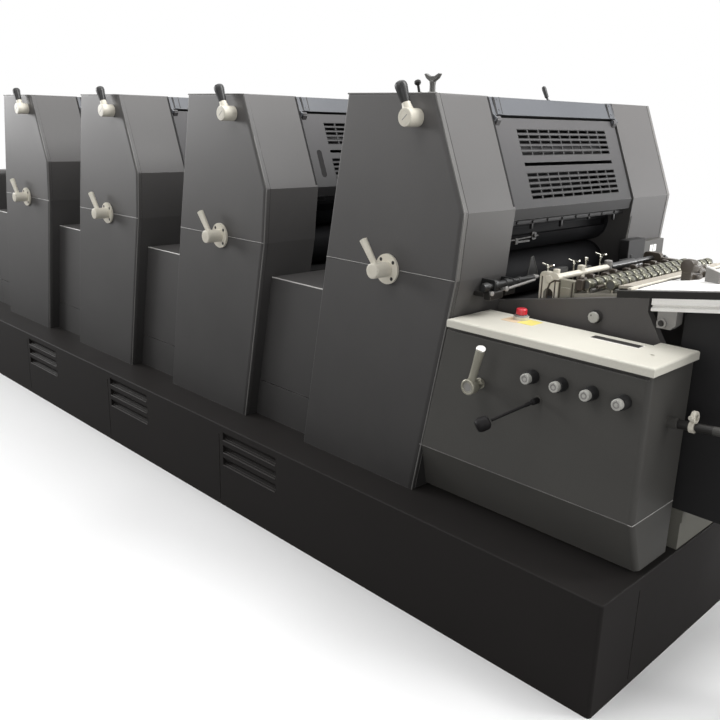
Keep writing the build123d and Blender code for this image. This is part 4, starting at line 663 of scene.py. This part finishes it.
# The light line along the seam round the console's base is a painted highlight
addPiece("seamLine", "edgeHighlightPaint", [rod([(1450, coverY - 0.1, seam), (2202.6, coverY - 0.1, seam)], 1.2, 8, 10)])
addPiece("seamLineEnd", "brightEdgeHighlight", [
    rod([(2190, coverY - 0.3, seam), (endX, coverY - 0.3, seam), (endX, -414, seam)], 1.1, 8, 10)])
for k, x in enumerate(console["knobs"], 1):
    z, body = console["knobZ"], f"console_knob_{k}"
    addPiece(f"knobCap_{k}", "knobWhite", [
        turned((x, coverY - 45, z), nearDir, [
            (-12, 15.2), (-2, 15.6), (0, 15), (1.2, 13.4), (1.3, 10), (0.2, 9.4), (0.2, 5.5), (1.0, 5), (1.1, 1)],
            12)], body)
    addPiece(f"knobSkirt_{k}", "housingPaint", [
        turned((x, coverY - 1, z), nearDir, [(0, 19.8), (2, 20.2), (16, 19.4), (29, 18.2), (29.6, 15)], 28)], body)
    addPiece(f"knobMark_{k}", "bracketGrey", [
        turnedRing((x, coverY - 45.1, z), nearDir, [(0, 5.6), (0.6, 5.6), (0.6, 9.4), (0, 9.4)], 20),
        boxed((x - 1.4, -695.8, z + 9.5), (x + 1.4, -694.6, z + 13.5), 1, 0.8, 0.2)], body)

# Console lever: hub with its ring and face, and the leaning arm in the place of its solid
arm = {"foot": (1677, -697, 792.0), "head": (1706, -697, 912.0), "hub": (1677, coverY - 0.6, 792),
       "face": (1677, -709, 792), "radii": (13.2, 12.2, 11.8, 11.9, 12.2, 12.7, 13.2, 13.4)}
addPiece("consoleHubRing", "wornCream", [
    turnedRing(arm["face"], nearDir, [(-2, 17), (1.6, 17), (2.6, 18), (2.8, 21.5), (1.4, 24), (-2, 24)], 36),
    turnedRing(arm["face"], nearDir, [(-0.5, 12.8), (0.9, 12.8), (1.1, 14.4), (-0.5, 14.4)], 28)], "console_lever")
addPiece("consoleHubFace", "bracketGrey", [
    turned(arm["face"], nearDir, [(-1, 17.5), (0.2, 17.2), (0.4, 12), (0.3, 2)], 30)], "console_lever")
armFoot = np.array(arm["foot"])
lean = unitVector(np.array(arm["head"]) - armFoot)
addPiece("consoleArm", "wornCream", [
    tube(armFoot + np.linspace(12, 123, 8)[:, None] * lean, arm["radii"], 24),
    turned(arm["hub"], nearDir, [
        (0, 17), (3, 17), (4, 14.5), (14, 14.5), (17, 18), (34, 22), (36, 24), (57, 24), (59, 22)], 32)],
    "console_lever", ("console_lever",))
addPiece("consoleArmHead", "whitePaint", [
    turned(armFoot + 124.5 * lean, (0.30, -0.38, 0.88),
           [(-1.5, 12), (0, 14.0), (1.4, 14.0), (2.2, 12.4), (1.8, 11.8), (1.9, 2)], 28)], "console_lever")
addPiece("consoleSetScrew", "wornCream", [
    turned((1695, -672, 805), (0.84, 0, 0.54), [(-6, 8), (5, 8), (7, 7), (7.6, 3)], 16)], "console_lever")

# Shaft at the console's end: its clamp and sleeves
shaft = {"dir": (0.996, 0, 0.09), "y": -517}
addPiece("shaftClamp", "creamMetal", [
    turnedRing((2268, shaft["y"], 794), shaft["dir"],
               [(-7, 9.3), (7, 9.3), (7, 15), (5.5, 16.5), (-5.5, 16.5), (-7, 15)], 30),
    turnedRing((2270, shaft["y"], 821), shaft["dir"],
               [(-6, 9), (6, 9), (6, 15.5), (4.5, 17), (-4.5, 17), (-6, 15.5)], 30),
    turned((2270, -536, 824), (0, -1, 0.1), [(-6, 4), (2, 4), (3, 6.5), (8, 6.5), (9, 5)], 14)])
addPiece("shaftSleeve", "railBlack", [
    turned((2203.5, shaft["y"], 788.2), shaft["dir"], [(0, 15), (3, 15), (4, 12.5), (56, 12.5), (57, 10)], 24),
    turned((2278, shaft["y"], 795), shaft["dir"], [(0, 10), (1, 12), (46, 12), (48, 10)], 24)])

# Ball lever in its solid's place: boss, thin rod and ball
ball = {"pivot": (1881, 793), "boss": coverY - 0.6, "rodY": -674, "reach": (-81, -116, -60)}
rodStart = np.array((ball["pivot"][0], ball["rodY"], float(ball["pivot"][1])))
rodDir = unitVector(ball["reach"])
addPiece("ballGrip", "blackAndPocketShade", [
    turned(rodStart + rodDir * math.hypot(*ball["reach"]), rodDir,
           [(-21, 7), (-20, 13), (-15, 19), (-8, 21.0), (8, 21.0), (15, 19), (20, 14), (21, 6)], 24),
    turned((ball["pivot"][0], ball["boss"], ball["pivot"][1]), nearDir, [(0, 9), (26, 9), (29, 7), (30, 3)], 20),
    turned(rodStart, rodDir, [(-3, 4), (0, 4.4), (10, 4.6), (12, 6.0), (24, 6.0), (26, 4.2), (128, 4.2)], 16)],
    "ball_lever", ("ball_lever",))

# Feeder side plate: its knob, and along its top a light edge line that paints a highlight and a dark groove line that
# paints the shadow under the slab
knob = {"x": 1893, "z": 1000}
addPiece("plateKnobCap", "knobWhite", [
    turned((knob["x"], -416, knob["z"]), nearDir, [(-10, 16.4), (-1, 17.2), (1, 15.5), (1.3, 12)], 10),
    turned((knob["x"], -417.4, knob["z"]), nearDir, [(-0.6, 3.5), (0.8, 3.2), (0.9, 1)], 10)], "plate_knob",
    ("plate_knob",))
addPiece("plateKnobSleeve", "railBlack", [
    turned((knob["x"], -396.2, knob["z"]), nearDir, [(0, 20), (4, 20), (5, 17), (11, 16.5), (11.6, 12)], 22),
    boxed((1886, -418.2, 1003), (1889, -417.2, 1009), 1, 1.2, 0.2)], "plate_knob")
# Edge paints a highlight line, and Groove a shadow line under the slab
for name, finish, y, z, r in (("Edge", "foldHighlightPaint", -649.2, 928.6, 0.9), ("Groove", "railBlack", -649.1, 932.4, 1.0)):
    addPiece(f"frontPlate{name}", finish, [tube([(q, y, z) for q in np.linspace(*console["plateEdge"])], r, 8)])
print("console dressed")

# Painted highlight along the joint line of each near cover, on both sides of its lever
joint = {"z": 1081.2, "runs": ((-296, -52), (52, 276))}
for i, x in unitX.items():
    addPiece(f"jointHighlight_{i}", "brightEdgeHighlight", [
        tube([(q, coverY - 0.3, joint["z"]) for q in np.linspace(x + a, x + b, 6)], 0.8, 8)
        for a, b in joint["runs"]])
print("panel edges ready")


# Feeder table: board height by distance, and the pieces that stand on it
def boardZ(x, h=0.0):
    return 986 + 0.15 * (x - 1280) + h


def wingScrew(foot, height, spread):
    x, y, z = foot
    stem = [(0, 6), (2, 6), (3, 3.4), (height - 9, 3.4), (height - 8, 6.5), (height + 1, 6)]
    wings = [tube([(x + side * 2, y, z + height - 2), (x + side * spread * 0.5, y, z + height - 0.5),
                   (x + side * spread, y, z + height + 3)], (4.6, 3.8, 2.8), 8) for side in (-1, 1)]
    return [turned(foot, zDir, stem, 12)] + wings


# Lay bar in its solid's place: arched end blocks, rod, cheeks, wing screws and brushes
lay = {"x": 1703, "z": 1080, "foot": 1049, "near": (-367, -345), "far": (307, 329), "arch": 17,
       "armY": (-318, 286, 14)}
arch = lay["arch"]
archLoop = ([(-34, -80), (-arch, -80)]
            + [(-arch * math.cos(t), -47 + arch * math.sin(t)) for t in np.linspace(0, math.pi, 9)]
            + [(arch, -80), (34, -80), (34, 10), (29, 18), (22, 21), (-22, 21), (-29, 18), (-34, 10)])
archSeat = ((lay["x"], 0, lay["z"]), (xDir, zDir, yDir))
addPiece("layBeam", "oilBrown", [boxed((1670, -345, 1022), (1716, 307, 1050), 1, 3, 1)])
addPiece("layNearBlock", "creamMetal", [
    plate(archLoop, *archSeat, lay["near"]),
    turned((lay["x"], -368, lay["z"]), nearDir, [(-2, 13), (2, 13), (3, 11), (3.4, 4)], 20)],
    hides=("lay_bar",), bevel=1.5)
addPiece("layRod", "creamMetal", [
    turned((lay["x"], -346, lay["z"]), yDir, [(0, 10.2), (330, 10.2), (331, 9.2)], 22)])
addPiece("layCheeks", "wornCream", [
    boxed((1737, -366.5, 1000), (1793, -346, 1086), 1, 4, 1.2, 4),
    boxed((1748, -368.3, 1012), (1782, -365, 1062), 1, 6, 1.0)])
addPiece("layFarBlock", "oilBrown", [
    plate(archLoop, *archSeat, lay["far"]), boxed((1737, 307, 1000), (1793, 329, 1086), 1, 4, 1.2)], bevel=1.5)
addPiece("layGrooves", "oilBrown", [
    rod([(q, y, 1006), (q, y, high)], 2.0, 8)
    for q, y, high in ((1679, -367.8, 1086), (1726, -367.8, 1080), (1743, -368.4, 1074), (1787, -368.4, 1080))])
screws = []
for foot, height, spread in (((1688, -356, 1100), 20, 21), ((1686, -202, 1049), 68, 20), ((1686, -36, 1049), 74, 20)):
    screws += wingScrew(foot, height, spread)
screws.append(turned((1684, -125, lay["foot"]), zDir, [(0, 5), (60, 4), (62, 8), (72, 8), (74, 5)], 14))
addPiece("layWingScrews", "brightSteel", screws)
addPiece("layPosts", "creamMetal", [
    boxed((1694, -192, 1049), (1712, -170, 1104), 2, 3, 1), boxed((1712, -364, 1086), (1730, -348, 1112), 2, 4, 1)])
addPiece("layGreyPost", "bracketGrey", [
    turned((lay["x"], -8, lay["foot"]), zDir, [(0, 12), (38, 12), (40, 13.5), (52, 13.5), (54, 10)], 18)])
addPiece("layDarkSleeve", "darkSteel", [
    turned((lay["x"], 4, lay["z"]), yDir, [(0, 9), (0.4, 11.5), (170, 11.5), (171, 9), (303, 9)], 20)])
addPiece("layBrushes", "blackPlastic", [
    boxed((1672, y0, 1048), (x1, y1, z1), 0, 5, 1)
    for y0, x1, y1, z1 in (
        (-322, 1690, -240, 1104), (-160, 1688, -90, 1092), (-20, 1688, 60, 1086), (120, 1688, 200, 1088))])
addPiece("layStrap", "oilBrown", [
    tube([(q, -368.5, z) for q, z in (
        (1744, 1079), (1724, 1078), (1709, 1068), (1702, 1050), (1700, 1028), (1700, 1008))], 2.6, 10)])
# Dark arms and blocks between the lay bar and the first rollers, standing on the cheeks and the plate
arms = []
for k, y in enumerate(np.linspace(*lay["armY"])):
    arms.append(boxed((1716, y - 5, 1040), (1790 - 8 * (k % 2), y + 5, 1058), 1, 4, 1.2, 2))
    arms.append(boxed((1752, y - 8, 1046), (1776, y + 8, 1078 + 6 * (k % 3)), 1, 5, 1.2, 2))
addPiece("layArms", "oilBrown", arms + [boxed((1794, -362, 1060), (1816, -338, 1092), 1, 3, 1.2)])
addPiece("layArmTips", "brightSteel", [
    turned((1764, y - 9, 1068), yDir, [(0, 3), (0.6, 6), (17, 6), (18, 3)], 12) for y in np.linspace(*lay["armY"])])
print("lay bar dressed")

# Sheet rollers: a C-shaped steel band and its bracket at each place along two rows
rollers = {"rows": (1820, 1900), "first": -331, "step": 46, "count": 15}
bandProfile = [(0, 12.5), (0, 15.2), (3, 16.4), (11, 16.6), (12, 15.6), (16, 15.6), (17, 16.6), (29, 16.4),
               (32, 15.2), (32, 12.5)]
bands, brackets = [], []
for x in rollers["rows"]:
    z = boardZ(x, 10)
    for k in range(rollers["count"]):
        y = rollers["first"] + rollers["step"] * k
        bands.append(turnedRing((x, y - 16, z), yDir, bandProfile, 18))
        brackets.append(turned((x, y + 16, z), yDir, [(0, 9), (1, 12.5), (12, 12.5), (13, 9)], 12))
        brackets.append(boxed((x + 15, y - 16, z - 20), (x + 25, y + 18, z - 9), 1, 2, 0.6, 1))
        brackets.append(boxed((x - 24, y + 4, z - 20), (x - 15, y + 14, z + 4), 1, 2, 0.6, 1))
addPiece("rollerBands", "rollBand", bands)
addPiece("rollerBrackets", "dimSteel", brackets)
middle = sum(rollers["rows"]) / 2
z = boardZ(middle, 4)
places = rollers["first"] + rollers["step"] * (np.arange(rollers["count"]) + 0.5)
addPiece("rollerMiddle", "rollBand",
         [turned((middle, y - 9, z), yDir, [(0, 4), (0.5, 9), (3, 10), (15, 10), (17.5, 9), (18, 4)], 12)
          for y in places]
         + [turned((middle + 34, y, z - 4), zDir, [(0, 6), (10, 6), (12, 9), (18, 9), (20, 5)], 10)
            for y in places[:-1]])
addPiece("rollerShafts", "oilBrown",
         [turned((x, rollers["first"] - 22, boardZ(x, 4)), yDir, [(0, 3), (1, 5), (692, 5), (693, 3)], 10)
          for x in (1784, middle, 1862)]
         + [boxed((1776, y - 3, boardZ(1776, -10)), (1916, y + 3, boardZ(1776, -2)), 2, 2, 0.6, 1)
            for y in places[::3]])
print("roller table dressed")

# Board: a loose sheet, and a cheek plate that stands across it, with a painted highlight along its top edge
sheet = np.array([(1984, -328), (1978, -126), (2102, -119), (2159, -203), (2234, -366), (2100, -352)], float)
low = np.column_stack((sheet, boardZ(sheet[:, 0], -1.6)))
addPiece("looseSheet", "paperWhite", [skin(np.stack((low, low + (0, 0, 0.8))))])
cheek = {"ends": ((2092, -141.0), (2159, -206.0)), "half": 3, "top": 1150}
a, b = (np.array(end) for end in cheek["ends"])
side = unitVector((b - a)[::-1] * (1, -1)) * cheek["half"]
foot = np.array([a - side, b - side, b + side, a + side])
low, high = np.column_stack((foot, boardZ(foot[:, 0], -1))), np.column_stack((foot, np.full(4, float(cheek["top"]))))
addPiece("cheekPlate", "bracketGrey", [skin(np.stack((low, high)))], bevel=1.0)
addPiece("cheekTopHighlight", "whitePaint", [tube(np.linspace((*a, cheek["top"]), (*b, cheek["top"]), 5), 3.4, 8)])
# Drive unit on the board, lower towards its far end, in its solid's place
addPiece("driveUnit", "oilBrown", [
    boxed((2008, -122, 1092), (2038, 10, 1128), 1, 5, 2),
    turned((2022, -122, 1140), (0, 1, -0.16),
           [(0, 12), (2, 20), (8, 23), (44, 23), (48, 19), (70, 18), (72, 13), (112, 12), (118, 8)], 22),
    boxed((2000, -96, 1092), (2050, -58, 1112), 2, 8, 2), boxed((2002, -30, 1092), (2046, 6, 1116), 2, 6, 2),
    turned((2030, -70, 1128), (1, 0.1, 0), [(0, 12), (12, 12), (14, 10), (15, 4)], 18)], hides=("drive_box",))
# Two small white discs on the drive unit: painted glints
addPiece("driveGlints", "knobWhite", [
    turned((2036, -78, 1143), (0.8, -0.4, 0.45), [(-8, 5), (4, 6.5), (8, 6.5), (9, 3)], 14),
    turned((2034, -10, 1128), (0.8, -0.4, 0.45), [(-8, 5), (6, 6.5), (9, 6), (10, 3)], 14)])
# Ribbed strip between the rollers and the board, level with the flat bar's top, and lines on the board
strip = {"x": (1918, 1966.5), "y": (-331, 328), "ribs": (1932, 1942, 1953)}
(x0, x1), (y0, y1) = strip["x"], strip["y"]
flat = np.array([(x0, y0), (x1, y0), (x1, y1), (x0, y1)])
low = np.column_stack((flat, boardZ(flat[:, 0], -1.5)))
addPiece("ribbedStrip", "beigeStrip",
         [skin(np.stack((low, low + (0, 0, 8.5))))]
         + [rod([(q, y0 + 3, boardZ(q, 7)), (q, y1 - 3, boardZ(q, 7))], 1.3, 8, 4) for q in strip["ribs"]], bevel=0.8)
addPiece("boardLines", "oilBrown", [
    tube([(q, y, boardZ(q, -1.0)) for y in np.linspace(near, far, 5)], 0.6, 6)
    for q, near, far in ((2006, -262, -128), (2021, -276, -140), (2034, -250, -150))])
addPiece("barShadow", "railBlack", [
    tube([(1979.6, y, boardZ(1979.6, -0.6)) for y in np.linspace(-326, 300, 8)], 1.8, 8)])
# Paper piles: the edges of single sheets show as lines around each pile
piles = {"delivery": ((-2620, -360, 391), (-2420, 360, 691)), "feeder": ((2340, -318, 829), (2630, 282, 1150)),
         "lines": 24, "uneven": 0.012}
sheets = np.arange(1, piles["lines"])
shares = sheets / piles["lines"] + piles["uneven"] * np.sin(5.0 * sheets)
for name in ("delivery", "feeder"):
    (x0, y0, z0), (x1, y1, z1) = piles[name]
    addPiece(f"{name}SheetEdges", "bracketGrey", [
        rod([(x0, y0, z), (x1, y0, z), (x1, y1, z), (x0, y1, z), (x0, y0 + 1, z)], 0.7, 4, 1)
        for z in z0 + (z1 - z0) * shares])
print("board dressed")

# Pale floor that fades to the white backdrop away from the press, and throws back less light than is seen
half = studio["floorHalf"]
floorMesh = bpy.data.meshes.new("studioFloor")
floorMesh.from_pydata([(-half, -half, 0), (half, -half, 0), (half, half, 0), (-half, half, 0)], [], [(0, 1, 2, 3)])
floorMaterial = bpy.data.materials.new("studioFloor")
tree = freshTree(floorMaterial)
reach = addNode(tree, "VectorMath", {0: addNode(tree, "TexCoord").outputs["Object"]}, operation="LENGTH")
fade = remap(tree, reach.outputs["Value"], *studio["floorFade"])
direct = addNode(tree, "LightPath").outputs["Is Camera Ray"]
shown = mixColor(tree, direct, (*studio["floorBounce"], 1), (*studio["floorSeen"], 1))
matt = addNode(tree, "BsdfDiffuse", {"Color": shown})
glow = addNode(tree, "Emission", {"Color": (1, 1, 1, 1), "Strength": 1.0})
blend = addNode(tree, "MixShader", {0: calc(tree, "MULTIPLY", fade, direct), 1: matt.outputs[0], 2: glow.outputs[0]})
addNode(tree, "OutputMaterial", {"Surface": blend.outputs[0]})
floorMesh.materials.append(floorMaterial)
addObject("studioFloor", floorMesh)
print("floor ready")
